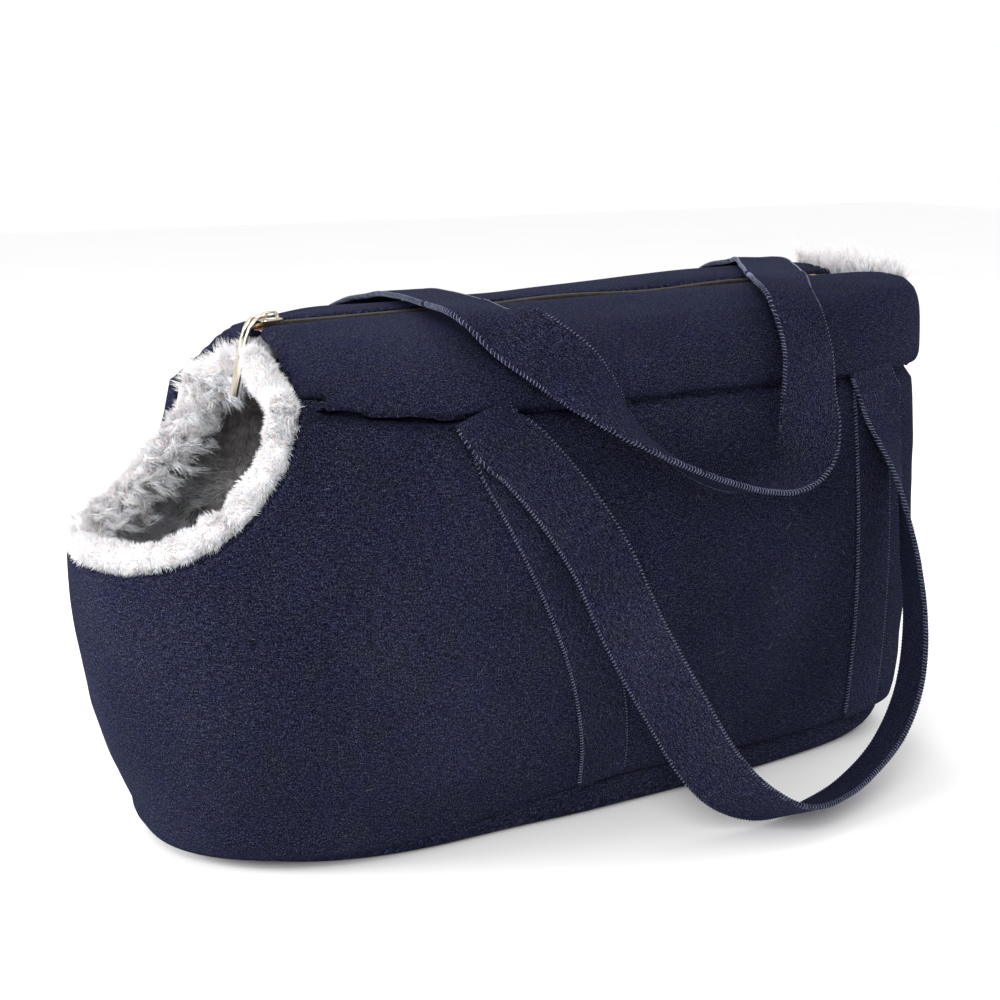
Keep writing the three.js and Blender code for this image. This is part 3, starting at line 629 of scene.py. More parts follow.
def wall_surface(angle, share, depth, relief=None):
    outer_x, outer_y = wall_plan(angle, FOLD_Z)
    top = rim_height(outer_x)
    if outer_x > COLLAR_FRONT_X - 0.01:
        top = fold_height(inset_plan(lambda a: wall_plan(a, FOLD_Z), angle, depth)[0]) - GAP
    top -= corner_drop(outer_x, outer_y)
    low = seam_height(wall_plan(angle, SEAM_Z)[0]) if relief else SEAM_Z + GAP
    z = low + (top - low) * share ** 1.1
    x, y = inset_plan(lambda a: wall_plan(a, z), angle, depth)
    if relief:
        amount = relief(x, y, z)
        x, y = inset_plan(lambda a: wall_plan(a, z), angle, depth - amount)
    return x, y, z


def build_wall():
    cols, rows = 260, 40
    angles = even_angles(cols)
    arc = arc_lengths(angles, WIDEST_Z)
    verts, weave = [], []
    profile = [(r / (rows - 1), 0.0, wall_relief) for r in range(rows)]
    profile += [(1.0, 4.4, None), (1.018, 5.4, None), (1.018, 7.6, None)]
    profile += [(1 - r / 9, WALL_BACK, None) for r in range(10)]
    for share, depth, relief in profile:
        for k, angle in enumerate(angles):
            x, y, z = wall_surface(angle, share, depth, relief)
            verts.append((x, y, z))
            weave.append((arc[k] * MM, z * MM, depth * MM))
    faces = ring_faces(len(profile), cols, closed=True)
    wall = new_object("body_denim_wall", verts, faces, DENIM, weave)
    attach(wall, "bag")
    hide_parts("body_shell", "body_padding")


def lining_relief(x, y, z, arc):
    """Embossed dots in rows and a loose, rumpled fall of the plush."""
    pitch, dot_depth = 9.0, 0.9
    row = round(z / pitch)
    shift = 0.5 * (row % 2)
    du = (arc / pitch + shift) % 1 - 0.5
    dv = z / pitch - row
    dot = -dot_depth * math.exp(-(du * du + dv * dv) / 0.05)
    rumple = 1.3 * wobble(x, y, z, 38, 5.2) + 0.6 * wobble(x, y, z, 14, 9.4)
    seam = -1.6 * math.exp(-(((z - 112) / 2.2) ** 2))
    edge = smooth((z - SEAM_Z) / 14) * smooth((rim_height(x) - z) / 9)
    return (dot + rumple + seam) * edge


def build_lining():
    cols, rows = 460, 72
    angles = even_angles(cols)
    arc = arc_lengths(angles, WIDEST_Z)
    verts = []
    for r in range(rows):
        for k, angle in enumerate(angles):
            point = wall_surface(angle, r / (rows - 1), LINING_FACE)
            amount = max(lining_relief(*point, arc[k]), -2.2)
            verts.append(wall_surface(angle, r / (rows - 1), LINING_FACE + amount))
    back_rows = 10
    for r in range(back_rows):
        verts += [wall_surface(angle, 1 - r / (back_rows - 1), LINING_BACK) for angle in angles]
    faces = ring_faces(rows + back_rows, cols, closed=True)
    lining = new_object("body_plush_lining", verts, faces, PLUSH)
    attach(lining, "bag")
    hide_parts("body_lining")


build_wall()
build_lining()


# ---------------------------------------------------------------- base cushion and mat
def base_plan(t):
    return lambda angle: plan_point(
        angle, lambda x: 0.745 + 0.08 * t + (0.16 - tuck_at(x)) * 0.5, 0.7 + 0.13 * t, 0.93 + 0.035 * t)


def build_stack(name, profile, material, relief=0.0, tuck=0.0):
    """Closed form from rings of (height, plan share, inset), capped with a fan of shrinking rings."""
    angles = even_angles(150)
    verts, weave = [], []
    low, high = profile[0], profile[-1]
    rings = [(low[0], low[1], low[2] + 9 * k) for k in (8, 5, 3, 1.5)] + profile
    rings += [(high[0], high[1], high[2] + 9 * k) for k in (1.5, 3, 5, 8)]
    for z, t, inset in rings:
        for angle in angles:
            x, y = inset_plan(base_plan(t), angle, inset)
            x, y = inset_plan(base_plan(t), angle, inset + tuck * smooth((10 - x) / 60))
            lift = relief * wobble(x, y, z, 40, 2.2)
            verts.append((x, y, z + (lift if z > 15 else 0)))
            weave.append((x * MM, (y + z) * MM, 0))
    return new_object(name, verts, tube_faces(len(rings), len(angles)), material, weave)


base = build_stack("base_denim_cushion", [
    (0.0, 0.0, 4.0), (0.0, 0.0, 1.6), (0.8, 0.05, 0.3), (2.6, 0.25, -0.1), (5.2, 0.52, -0.3),
    (8.6, 0.76, -0.4), (12.0, 0.92, -0.4), (15.6, 0.99, -0.2), (18.2, 1.0, 0.3), (19.3, 1.0, 1.6),
    (19.3, 1.0, 3.4),
], DENIM, tuck=1.8)
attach(base, "bag")
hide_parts("base_shell", "base_padding")

mat = build_stack("base_plush_mat", [
    (20.4, 0.5, 15.0), (20.6, 0.6, 13.2), (22.6, 0.7, 12.0), (26.0, 0.75, 11.8), (29.4, 0.7, 12.4),
    (31.8, 0.6, 14.6), (32.6, 0.5, 18.5),
], PLUSH, relief=0.8)
puff(mat, 5.0, 3.0, 3.0, lambda x, y, z: smooth((z - 21.5) / 5))
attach(mat, "bag")
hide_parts("base_mat")


# ---------------------------------------------------------------- collar
STATIONS, ACROSS = 96, 30
PAD_DEPTHS, LINING_DEPTHS = (0.5, 8.4), (9.0, 11.6)
LINING_SETBACK, LINING_REACH = 10.0, 0.8
HEM_SHIFT = {"near": -3.0, "far": 9.0}    # how far the front hems move back


def collar_grid(depth, setback, hem_shift=0.0, rear=COLLAR_REAR_X, reach=1.0):
    """Points of one face of a collar half, set back evenly or more towards the fold."""
    rows = []
    for i in range(STATIONS):
        share = i / (STATIONS - 1)
        row = []
        for j in range(ACROSS):
            t = reach * (j / (ACROSS - 1)) ** 0.9
            start = collar_front(t) + setback + hem_shift * smooth(t / 0.9)
            x = start + (rear - start) * share
            row.append((x, *collar_inset(x, t, depth)))
        rows.append(row)
    return rows


def collar_solid(name, side, outer, inner, material):
    verts = [(x, side * y, z) for grid in (outer, inner) for row in grid for x, y, z in row]
    inside = STATIONS * ACROSS
    faces = []
    for i in range(STATIONS - 1):
        for j in range(ACROSS - 1):
            a = i * ACROSS + j
            quad = (a, a + ACROSS, a + ACROSS + 1, a + 1)
            faces.append(quad)
            faces.append(tuple(k + inside for k in quad[::-1]))
        for a in (i * ACROSS, (i + 1) * ACROSS - 1):
            faces.append((a, a + inside, a + ACROSS + inside, a + ACROSS))
    for i in (0, STATIONS - 1):
        for a in range(i * ACROSS, (i + 1) * ACROSS - 1):
            faces.append((a, a + 1, a + 1 + inside, a + inside))
    return new_object(name, verts, faces, material)


def section_arc(x, y, z):
    """Distance over the collar's section from the fold, as used by the weave."""
    fold = fold_height(x)
    return (z - fold) + 0.9 * max(half_width(x, fold) + OVERHANG - abs(y), 0)


def collar_mask(x, y, z):
    """Where the pad may swell: not at the zip, the fold or its ends."""
    fold = fold_height(x)
    at_zip = smooth((abs(y) - ZIP_SLOT) / 14)
    at_fold = smooth((z - fold) / 7)
    at_ridge = 1 - 0.8 * smooth((z - crown_height(x) + 8) / 7)
    ends = smooth((x - COLLAR_FRONT_X + 2) / 14) * smooth((COLLAR_REAR_X + 1 - x) / 16)
    straps = 1.0
    for centre, low, high in ((-48, -46, 70), (150, -46, 60)):
        if (low < y < high) and z > 225:
            straps = min(straps, 0.35 + 0.65 * (1 - math.exp(-(((x - centre) / 26) ** 4))))
    return at_zip * at_fold * at_ridge * ends * straps


def build_collar(name, side):
    outer, inner = (collar_grid(depth, 0.0, HEM_SHIFT[name]) for depth in PAD_DEPTHS)
    pad = collar_solid(f"collar_denim_{name}", side, outer, inner, DENIM)
    puff(pad, 4.2, 3.2, 2.4, collar_mask)
    positions = np.array([v.co for v in pad.data.vertices]) / MM
    relief = []
    for x, y, z in positions:
        fold = fold_height(x)
        outside = abs(y) > half_width(x, fold) - 1
        curl = -HEM_DEPTH * rounded((z - fold) / HEM_RISE) if outside else 0
        wave = 0.7 * wobble(x, y, z, 46, 4.4) + 0.35 * wobble(x * 0.5, y, z, 17, 8.8)
        fade = smooth((abs(y) - ZIP_SLOT - 1) / 12) * smooth((z - fold + 1) / 6)
        relief.append(wave * fade + curl)
    normals = np.array([v.normal for v in pad.data.vertices])
    moved = positions + normals * np.array(relief)[:, None]
    pad.data.vertices.foreach_set("co", (moved * MM).ravel())
    pad.data.update()
    set_weave(pad.data, [(x * MM, section_arc(x, y, z) * MM, 0) for x, y, z in positions])
    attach(pad, "bag")
    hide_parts(f"collar_{name}", f"collar_padding_{name}")
    outer, inner = (collar_grid(depth, LINING_SETBACK, rear=PADDING_REAR_X, reach=LINING_REACH)
                    for depth in LINING_DEPTHS)
    lining = collar_solid(f"collar_plush_{name}", side, outer, inner, PALE_PLUSH)
    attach(lining, "bag")
    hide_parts(f"collar_lining_{name}")


for side_name, side_sign in SIDES.items():
    build_collar(side_name, side_sign)


# ---------------------------------------------------------------- fur
TRIM_R, REAR_TRIM_R = 5.4, 5.0
WALL_MIDDLE, COLLAR_MIDDLE = 5.8, 5.7    # depths of the middle of the cloth that a roll is sewn to
PILE_RADIUS, LINING_PILE_RADIUS, LOCK_HAIRS = 0.15, 0.2, 22
ROLL_SPACING, ROLL_SIDES, ROLL_SMOOTHING = 1.8, 22, 12
DENSITY = 1.0
EDGE_ANGLE = math.acos(((WIDEST_X - COLLAR_FRONT_X) / (WIDEST_X - LIP_X)) ** (FRONT_POWER / 2))


def front_roll_half():
    half = []
    stand_off = TRIM_R + 1.2

    def rim_at(angle):
        x, y = inset_plan(lambda a: wall_plan(a, FOLD_Z), angle, WALL_MIDDLE)
        return np.array([x, y, rim_height(wall_plan(angle, FOLD_Z)[0])])

    rim_steps = 9
    for i in range(1, rim_steps + 1):
        angle = EDGE_ANGLE * math.sin(i / rim_steps * math.pi / 2)
        along = rim_at(angle + 1e-3) - rim_at(angle - 1e-3)
        run = math.hypot(along[0], along[1])
        climb = math.pi / 2 if i == rim_steps else math.atan2(along[2], run)
        flat = unit(np.array([along[0], along[1], 0]))
        away = np.array([0, 0, math.cos(climb)]) - flat * math.sin(climb)
        half.append(rim_at(angle) + away * (stand_off + (0.8 if i > rim_steps - 2 else 0)))
    for i in range(1, 7):
        t = 1 - i / 6 * 0.9
        y, z = collar_inset(collar_front(t), t, COLLAR_MIDDLE)
        half.append(np.array([collar_front(t) - stand_off - 1.9, -max(y, ZIP_SLOT + TRIM_R), z]))
    return half


def mirrored(points):
    return [np.array([p[0], -p[1], p[2]]) for p in points][::-1]


def rear_roll_path():
    x = COLLAR_REAR_X - 5
    half = [np.array([x, 0, ZIP_EDGE_Z + zip_climb(x) - 2.6 - 1.4 - REAR_TRIM_R])]
    steps = 9
    for i in range(steps + 1):
        t = 0.05 + 0.75 * i / steps
        y, z = collar_inset(x + 4, t, 2.6 + 0.9 + REAR_TRIM_R)
        half.append(np.array([x, -y, z]))
    sill = fold_height(x) + REAR_TRIM_R + 1.3
    half.append(np.array([x + 1.5, half[steps + 1][1] + 8, sill]))
    half.append(np.array([x + 3, -14, sill]))
    return half + mirrored(half[1:])


def resample(points, spacing, closed=False):
    """Evenly spaced points along a smooth curve through the points."""
    if closed:
        points = list(points) + [points[0]]
    fine = np.array([catmull(points, k / 900) for k in range(901)])
    length = run_lengths(fine)
    marks = np.linspace(0, length[-1], int(length[-1] / spacing) + 1)
    return at_marks(marks[:-1] if closed else marks, length, fine)


def frames_along(tangents, up):
    side = unit_rows(np.cross(tangents, up))
    return side, np.cross(side, tangents)


def roll_lump(p):
    return 0.92 + 0.2 * wobble(*p, 10, 2.7) + 0.2 * wobble(*p, 4.2, 6.1)


def roll_mesh(name, points, radius, closed, node):
    """The lumpy felted core of a fur roll."""
    pts = resample(points, ROLL_SPACING, closed)
    if closed:
        tangents = unit_rows(np.roll(pts, -1, axis=0) - np.roll(pts, 1, axis=0))
    else:
        for _ in range(ROLL_SMOOTHING):
            pts[1:-1] = (pts[:-2] + 2 * pts[1:-1] + pts[2:]) / 4
        tangents = unit_rows(np.gradient(pts, axis=0))
    side, up = frames_along(tangents, (0.15, 0.1, 0.98))
    verts, tone = [], []
    for k in range(len(pts)):
        for a in range(ROLL_SIDES):
            angle = 2 * math.pi * a / ROLL_SIDES
            out = side[k] * math.cos(angle) + up[k] * math.sin(angle)
            p = pts[k] + out * radius
            ends = 1.0 if closed else min(1, 0.45 + min(k, len(pts) - 1 - k) / 9)
            verts.append(pts[k] + out * radius * roll_lump(p) * ends)
            tone.append(0.45 + 0.3 * wobble(*p, 7, 1.1))
    faces = ring_faces(len(pts), ROLL_SIDES, True) if closed else tube_faces(len(pts), ROLL_SIDES)
    obj = new_object(name, verts, faces, FUR)
    set_tone(obj.data, np.clip(tone, 0, 0.75))
    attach(obj, "bag")
    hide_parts(node)
    return pts, side, up, tangents


def strands(name, roots, dirs, lengths, radius, bend, tone_root, tone_tip, material=FUR):
    """Many fine tapered hairs in one mesh: three rings of three points and a tip each."""
    roots, dirs, bend = np.asarray(roots), unit_rows(np.asarray(dirs)), np.asarray(bend)
    count = len(roots)
    helper = np.where(np.abs(dirs[:, 2:3]) < 0.9, [[0, 0, 1.0]], [[1.0, 0, 0]])
    a = unit_rows(np.cross(dirs, helper))
    b = np.cross(dirs, a)
    verts = np.zeros((count, 10, 3))
    tones = np.zeros((count, 10))
    lengths = np.asarray(lengths)[:, None]
    for n, s in enumerate((0.0, 0.4, 0.75, 1.0)):
        centre = roots + dirs * lengths * s + bend * lengths * s * s
        width = radius * (1 - 0.75 * s)
        verts[:, 9] = centre
        tones[:, n * 3:n * 3 + 3] = np.reshape(tone_root + (tone_tip - tone_root) * s, (-1, 1))
        for k in range(3 if n < 3 else 0):
            angle = 2 * math.pi * k / 3
            verts[:, n * 3 + k] = centre + (a * math.cos(angle) + b * math.sin(angle)) * width
    quads = [(n * 3 + k, n * 3 + (k + 1) % 3, (n + 1) * 3 + (k + 1) % 3, (n + 1) * 3 + k)
             for n in range(2) for k in range(3)]
    tips = [(6 + k, 6 + (k + 1) % 3, 9) for k in range(3)]
    mesh = hair_mesh(name, verts.reshape(-1, 3), [(2, 1, 0)] + quads + tips, count)
    mesh.materials.append(material)
    set_tone(mesh, np.clip(tones.ravel(), 0, 1))
    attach(link_object(name, mesh), "bag")


def hair_mesh(name, verts, hair, count):
    """One mesh of many hairs that all have the same faces."""
    sizes = [len(face) for face in hair]
    corners = np.concatenate([np.array(face) for face in hair])
    loops = (corners[None, :] + np.arange(count)[:, None] * 10).ravel()
    totals = np.tile(sizes, count)
    starts = np.concatenate([[0], np.cumsum(totals)[:-1]])
    mesh = bpy.data.meshes.new(name)
    mesh.vertices.add(len(verts))
    mesh.vertices.foreach_set("co", (verts * MM).astype(np.float32).ravel())
    mesh.loops.add(len(loops))
    mesh.loops.foreach_set("vertex_index", loops.astype(np.int32))
    mesh.polygons.add(len(totals))
    mesh.polygons.foreach_set("loop_start", starts.astype(np.int32))
    smooth_faces(mesh)
    mesh.update(calc_edges=True)
    mesh.validate()
    return mesh


def roll_fuzz(name, roll, radius, count, length, seed, brown=0.0, near_share=1.0):
    """Short dense pile on a roll; near_share shortens it on the near side."""
    rng = np.random.default_rng(seed)
    pts, side, up, tangents = roll
    last = len(pts) - 1
    k = rng.integers(0, last + 1, count)
    k[: count // 30] = rng.choice([0, 1, last - 1, last], count // 30)
    angle = rng.uniform(0, 2 * math.pi, count)
    out = side[k] * np.cos(angle)[:, None] + up[k] * np.sin(angle)[:, None]
    base = pts[k] + tangents[k] * rng.uniform(-1, 1, count)[:, None]
    surface = np.array([roll_lump(p + o * radius) for p, o in zip(pts[k], out)])[:, None]
    at_end = np.clip(1 - np.minimum(k, last - k) / 5, 0, 1)[:, None]
    toward = np.where((k < last / 2)[:, None], -tangents[k], tangents[k])
    roots = base + out * radius * (surface - 0.08) * (1 - 0.5 * at_end * rng.uniform(0.2, 1, (count, 1)))
    swirl = np.array([[wobble(*p, 7, s) for s in (3.3, 5.5, 7.9)] for p in roots])
    lean = swirl * 1.4 + rng.normal(0, 0.16, (count, 3))
    dirs = out + lean * 0.55 + toward * at_end * 0.9
    bend = lean * 0.3 + np.array([0, 0, -0.08])
    sizes = length * rng.uniform(0.6, 1.15, count)
    sizes *= np.where(pts[k][:, 1] < 0, near_share, 1.0)
    # Where the clump noise is high the hairs are shorter and their tips are painted greyer: painted shade
    # in the hollows between clumps.
    clump = np.array([wobble(*p, 7, 4.7) for p in roots])
    grey = np.clip(clump * 0.8 - 0.1, 0, 0.35)
    # Some tips on the downward side of the near half are painted pinkish brown: painted shade under the
    # roll.
    underside_shade = (pts[k][:, 1] < 0) & (out[:, 2] < -0.15) & (rng.uniform(size=count) < brown)
    tip = np.where(underside_shade, 1.0, rng.uniform(0.68, 0.78, count) - grey)
    root = rng.uniform(0.05, 0.3, count)
    strands(name, roots, dirs, sizes * (1 - grey * 0.5), PILE_RADIUS, bend, root, tip)


def tucked(points):
    """The far half of the roll sits further in, so the denim's edge shows in front of it."""
    moved = []
    for p in points:
        share = smooth((p[0] + 212) / 40)
        upper = smooth((p[2] - 168) / 40)
        moved.append(p + np.array([3.5, -6.5, -1.5]) * share + np.array([10.5, -3.5, -5]) * upper)
    return moved


near_roll = front_roll_half()
lip_point = np.array([LIP_X + WALL_MIDDLE, 0, LIP_Z + TRIM_R + 0.7])
front_path = tucked(mirrored(near_roll)) + [lip_point] + near_roll[:-1]
front_roll = roll_mesh("fur_front_roll", front_path, TRIM_R, False, "front_fur_trim")
rear_roll = roll_mesh("fur_rear_roll", rear_roll_path(), REAR_TRIM_R, True, "rear_fur_trim")
roll_fuzz("fur_front_pile", front_roll, TRIM_R, int(42000 * DENSITY), 3.6, 11, 0.16)
roll_fuzz("fur_rear_pile", rear_roll, REAR_TRIM_R, int(14000 * DENSITY), 3.2, 12, 0.0, 0.45)


def inner_pile(name, count, x_range, length, seed, material, lean):
    """Pile rooted on the lining around the mouth, swept about in soft whorls."""
    rng = np.random.default_rng(seed)
    low, high = x_range
    roots, dirs, sizes, bends, tip_tone = [], [], [], [], []
    limit = math.acos(min(((WIDEST_X - high) / (WIDEST_X - LIP_X)), 1) ** (FRONT_POWER / 2))
    while len(roots) < count:
        angle = rng.uniform(-limit, limit) * 1.08
        share = rng.uniform(0.12, 0.99)
        outer = wall_plan(angle, FOLD_Z)[0]
        x, y, z = wall_surface(angle % (2 * math.pi), share, 11.6)
        fade = smooth((high - x) / 22) if x > high - 22 else 1.0
        if not low < x < high or rng.uniform() > fade or rim_height(outer) - z < 1:
            continue
        inward = unit(np.array([WIDEST_X - x, -1.5 * y, 0]))
        swirl = np.array([wobble(x, y, z, 24, s) for s in (3.1, 6.6, 9.9)])
        whorl = np.array([wobble(x, y, z, 9, s) for s in (2.1, 4.6, 8.9)])
        roots.append((x, y, z))
        way = unit(np.array([0, 0, 0.25]) + swirl * lean + whorl * 0.7 + rng.normal(0, 0.12, 3))
        dirs.append(way + inward * (0.4 - min(way @ inward, 0)))
        bends.append(inward * 0.25 + np.array([0, 0, -0.15]))
        sizes.append(length * rng.uniform(0.6, 1.2))
        tip_tone.append(0.73 + 0.05 * swirl[0])
    strands(name, roots, dirs, sizes, LINING_PILE_RADIUS, bends, 0.22, np.array(tip_tone), material)


inner_pile("plush_long_pile", int(34000 * DENSITY), (-226, -128), 11.0, 41, FUR, 1.6)
inner_pile("plush_short_pile", int(14000 * DENSITY), (-150, -78), 2.4, 42, PLUSH, 0.8)


def tufts(name, spots, seed):
    """Longer locks, each spot is (point, direction, spread, hairs, length)."""
    rng = np.random.default_rng(seed)
    roots, dirs, sizes, bends = [], [], [], []
    for point, direction, spread, hairs, length in spots:
        point, direction = np.array(point, float), unit(np.array(direction, float))
        hairs = max(int(hairs * DENSITY), 4)
        for _ in range(max(hairs // LOCK_HAIRS, 1)):
            centre = point + rng.normal(0, spread, 3)
            lean = unit(direction + rng.normal(0, 0.3, 3))
            curl = rng.normal(0, 0.28, 3)
            for _ in range(LOCK_HAIRS):
                roots.append(centre + rng.normal(0, 0.9, 3))
                dirs.append(lean + rng.normal(0, 0.12, 3))
                bends.append(curl + rng.normal(0, 0.06, 3))
                sizes.append(length * rng.uniform(0.6, 1.15))
    count = len(roots)
    root, tip = rng.uniform(0.5, 0.7, count), rng.uniform(0.72, 0.78, count)
    strands(name, roots, dirs, sizes, PILE_RADIUS, bends, root, tip)


def along_roll(roll, low, high, step):
    """Every step-th point of a roll between two shares of its length."""
    pts = roll[0]
    first, last = int(low * (len(pts) - 1)), int(high * (len(pts) - 1))
    return pts[first:last:step]


front_spots = [(p + np.array([-1, 0, 0]), (-0.6, -0.35, 0.4), 2.2, 60, 4.5)
               for p in along_roll(front_roll, 0.5, 0.96, 5)]
front_spots += [(p + np.array([0, -1, 1]), (-0.45, 0.1, 0.6), 2.6, 200, 6.5)
                for p in along_roll(front_roll, 0.03, 0.5, 4)]
front_spots += [(p + np.array([3, -7, -4]), (0.1, -0.8, 0.1), 3.6, 330, 11)
                for p in along_roll(front_roll, 0.05, 0.5, 3)]
front_spots += [((-156, -76, z), (-0.3, -0.85, 0.25), 2.2, 400, 3.2) for z in (207, 211, 215, 218)]
tufts("fur_front_tufts", front_spots, 21)
rear_spots = [((217, y, 246), (0.1, 0.004 * y, 1), 2.6, 330, 10) for y in range(-38, 40, 4)]
tufts("fur_rear_tufts", rear_spots, 22)


# ---------------------------------------------------------------- webbing
STRAP_SPACING, STITCH_PITCH, THREAD_R = 2.0, 1.7, 0.15


def strap_samples(stations):
    """Centres, directions, outer faces and distances along a strap, evenly spaced."""
    fine = 1200
    line, turn = (np.array([catmull(knots, k / fine) for k in range(fine + 1)]) for knots in zip(*stations))
    length = run_lengths(line)
    marks = np.linspace(0, length[-1], int(length[-1] / STRAP_SPACING) + 1)
    pts = at_marks(marks, length, line)
    turn = at_marks(marks, length, turn)
    along = unit_rows(np.gradient(pts, axis=0))
    turn = unit_rows(turn - along * np.sum(turn * along, axis=1, keepdims=True))
    return pts, along, turn, np.cross(along, turn), marks


def strap_profile(width, thickness):
    """Half outline of a folded strap, flatter at the edge seam: (across, height) pairs."""
    w, h = width / 2, thickness / 2
    return [(w - 0.05, 0.0), (w - 0.25, h * 0.6), (w - 0.9, h * 0.93), (w - 2.4, h * 0.9),
            (w - 4.2, h * 0.98), (w * 0.45, h), (0.0, h * 0.96)]


def build_strap(name, stations, width, thickness):
    sweep = strap_samples(stations)
    pts, _, face, across, marks = sweep
    half = strap_profile(width, thickness)
    top = half + [(-a, h) for a, h in half[-2::-1]]
    outline = top + [(a, -h) for a, h in top[-2:0:-1]]
    verts, weave = [], []
    for k in range(len(pts)):
        ripple = 0.12 * wobble(marks[k], 0, 0, 16, 3.7)
        for a, h in outline:
            verts.append(pts[k] + across[k] * a + face[k] * (h + ripple))
            weave.append((marks[k] * MM, a * MM, 0))
    faces = tube_faces(len(pts), len(outline))
    obj = new_object(name, verts, faces, STRAP, weave)
    add_stitches(obj, sweep, width, thickness)
    return obj


def add_stitches(obj, sweep, width, thickness):
    """Slanted thread wrapped over the strap's edges."""
    pts, along, face, across, marks = sweep
    w, h = width / 2, thickness / 2
    path = [(w - 1.3, h * 0.94 + 0.02, 0.0), (w - 0.7, h * 0.94 + 0.1, 0.35), (w, h * 0.3, 0.6),
            (w, -h * 0.3, 0.75), (w - 0.7, -h * 0.94 - 0.1, 1.0), (w - 1.3, -h * 0.94 - 0.02, 1.3)]
    base_verts = [tuple(v.co) for v in obj.data.vertices]
    base_faces = [tuple(p.vertices) for p in obj.data.polygons]
    verts, faces = [], []
    for edge in (-1, 1):
        for n in range(int((marks[-1] - 4) / STITCH_PITCH)):
            line = []
            for a, b, shift in path:
                s = (2 + n * STITCH_PITCH + shift) / marks[1]
                k = min(int(s), len(pts) - 2)
                at = pts[k] * (1 - s + k) + pts[k + 1] * (s - k)
                line.append(at + edge * a * across[k] + b * face[k])
            first = len(base_verts) + len(verts)
            faces += [tuple(first + k for k in q) for q in ring_faces(len(line), 4)]
            for m, p in enumerate(line):
                d = unit(line[min(m + 1, len(line) - 1)] - line[max(m - 1, 0)])
                e = unit(np.cross(d, along[0] + 0.01))
                f = np.cross(d, e)
                verts += [p + THREAD_R * e, p + THREAD_R * f, p - THREAD_R * e, p - THREAD_R * f]
    weave = np.zeros(len(base_verts) * 3, np.float32)
    obj.data.attributes["weave"].data.foreach_get("vector", weave)
    mesh = bpy.data.meshes.new(obj.data.name)
    mesh.from_pydata(base_verts + (np.array(verts) * MM).tolist(), [], base_faces + faces)
    mesh.update()
    mesh.materials.append(STRAP)
    mesh.materials.append(THREAD)
    smooth_faces(mesh)
    mesh.polygons.foreach_set("material_index", [0] * len(base_faces) + [1] * len(faces))
    set_weave(mesh, np.concatenate([weave, np.zeros(len(verts) * 3, np.float32)]))
    obj.data = mesh


def leg_stations(side, line):
    stations = []
    count = 9
    for i in range(count + 1):
        z = FOLD_Z + 2 + (SEAM_Z + 1.5 - FOLD_Z - 2) * i / count
        x = leg_x(line, z)
        half = half_width(x, z)
        step = 3
        lean_x = (half_width(x + step, z) - half_width(x - step, z)) / (2 * step)
        lean_z = (half_width(x, z + step) - half_width(x, z - step)) / (2 * step)
        stations.append(((x, side * (half + LEG_T / 2 + 0.35), z), (-lean_x, side, -lean_z)))
    return stations


for side_name, side_sign in SIDES.items():
    for line_name in LEG_LINES:
        route = leg_stations(side_sign, line_name)
        leg = build_strap(f"leg_webbing_{line_name}_{side_name}", route, LEG_W, LEG_T)
        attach(leg, "bag")
        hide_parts(f"strap_leg_{line_name}_{side_name}")

HINGE_Z = FOLD_Z - 2
HANDLE_FRONT, HANDLE_REAR = LEG_LINES["front"][0], LEG_LINES["rear"][0]
STAND_OFF, TUCK = 7.8, 5.6    # the webbing's centre from the wall, and how far its ends reach back in
FRONT_Y = half_width(HANDLE_FRONT, FOLD_Z) + STAND_OFF
REAR_Y = half_width(HANDLE_REAR, FOLD_Z) + STAND_OFF
SKEW = (FRONT_Y - REAR_Y) / (HANDLE_REAR - HANDLE_FRONT)
NEAR_HANDLE = [
    ((HANDLE_FRONT - 5, TUCK - FRONT_Y, HINGE_Z + 6), (SKEW, -1, 0)),
    ((HANDLE_FRONT - 2, -FRONT_Y + 3.4, HINGE_Z - 1.5), (SKEW, -1, 0.3)),
    ((HANDLE_FRONT + 2.5, -FRONT_Y, HINGE_Z - 7), (SKEW, -1, 0.1)),
    ((-56, -101, 190), (-0.05, -1, 0.1)),
    ((-36, -106, 166), (-0.15, -1, 0.1)),
    ((-21, -112, 141), (-0.25, -1, 0)),
    ((-8, -119, 108), (-0.35, -1, 0)),
    ((10, -127, 71), (-0.5, -1, -0.1)),
    ((28, -135, 38), (-0.55, -1, -0.3)),
    ((44, -139, 22), (-0.45, -0.8, -0.6)),
    ((68, -142, 11), (-0.2, -0.5, -0.85)),
    ((96, -137, 10), (0.2, -0.4, -0.95)),
    ((120, -132, 15), (0.5, -0.4, -0.8)),
    ((144, -127, 28), (0.75, -0.4, -0.6)),
    ((162, -121, 50), (0.95, -0.4, -0.3)),
    ((171, -114, 80), (1, -0.4, 0)),
    ((173, -106, 112), (1, -0.5, 0)),
    ((172, -96, 150), (0.8, -0.8, 0)),
    ((169, -REAR_Y - 2, 182), (0.3, -1, 0)),
    ((HANDLE_REAR + 0.5, -REAR_Y, HINGE_Z - 6), (SKEW, -1, 0)),
    ((HANDLE_REAR, -REAR_Y + 3.4, HINGE_Z - 1), (SKEW, -1, 0.3)),
    ((HANDLE_REAR - 1, TUCK - REAR_Y, HINGE_Z + 6), (SKEW, -1, 0)),
]
near_handle = build_strap("handle_webbing_near", NEAR_HANDLE, STRAP_W, STRAP_T)
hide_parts("handle_near")
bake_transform(near_handle)

TOP_FRONT, TOP_REAR = 249.4, 253.9
BEND_Y = -46.0


def out_of_fold(x, y, shifts):
    """Stations of the webbing's hairpin turn out of the fold; shifts move them along the bag."""
    turns = ((y - TUCK, 3, -1, 0), (y - TUCK + 0.6, -1.6, -0.8, -0.6),
             (y - 2.2, -4, 0.1, -1), (y, 0, 1, -0.3))
    return [((x + shift, at, HINGE_Z + up), (SKEW, out, rise))
            for shift, (at, up, out, rise) in zip(shifts, turns)]


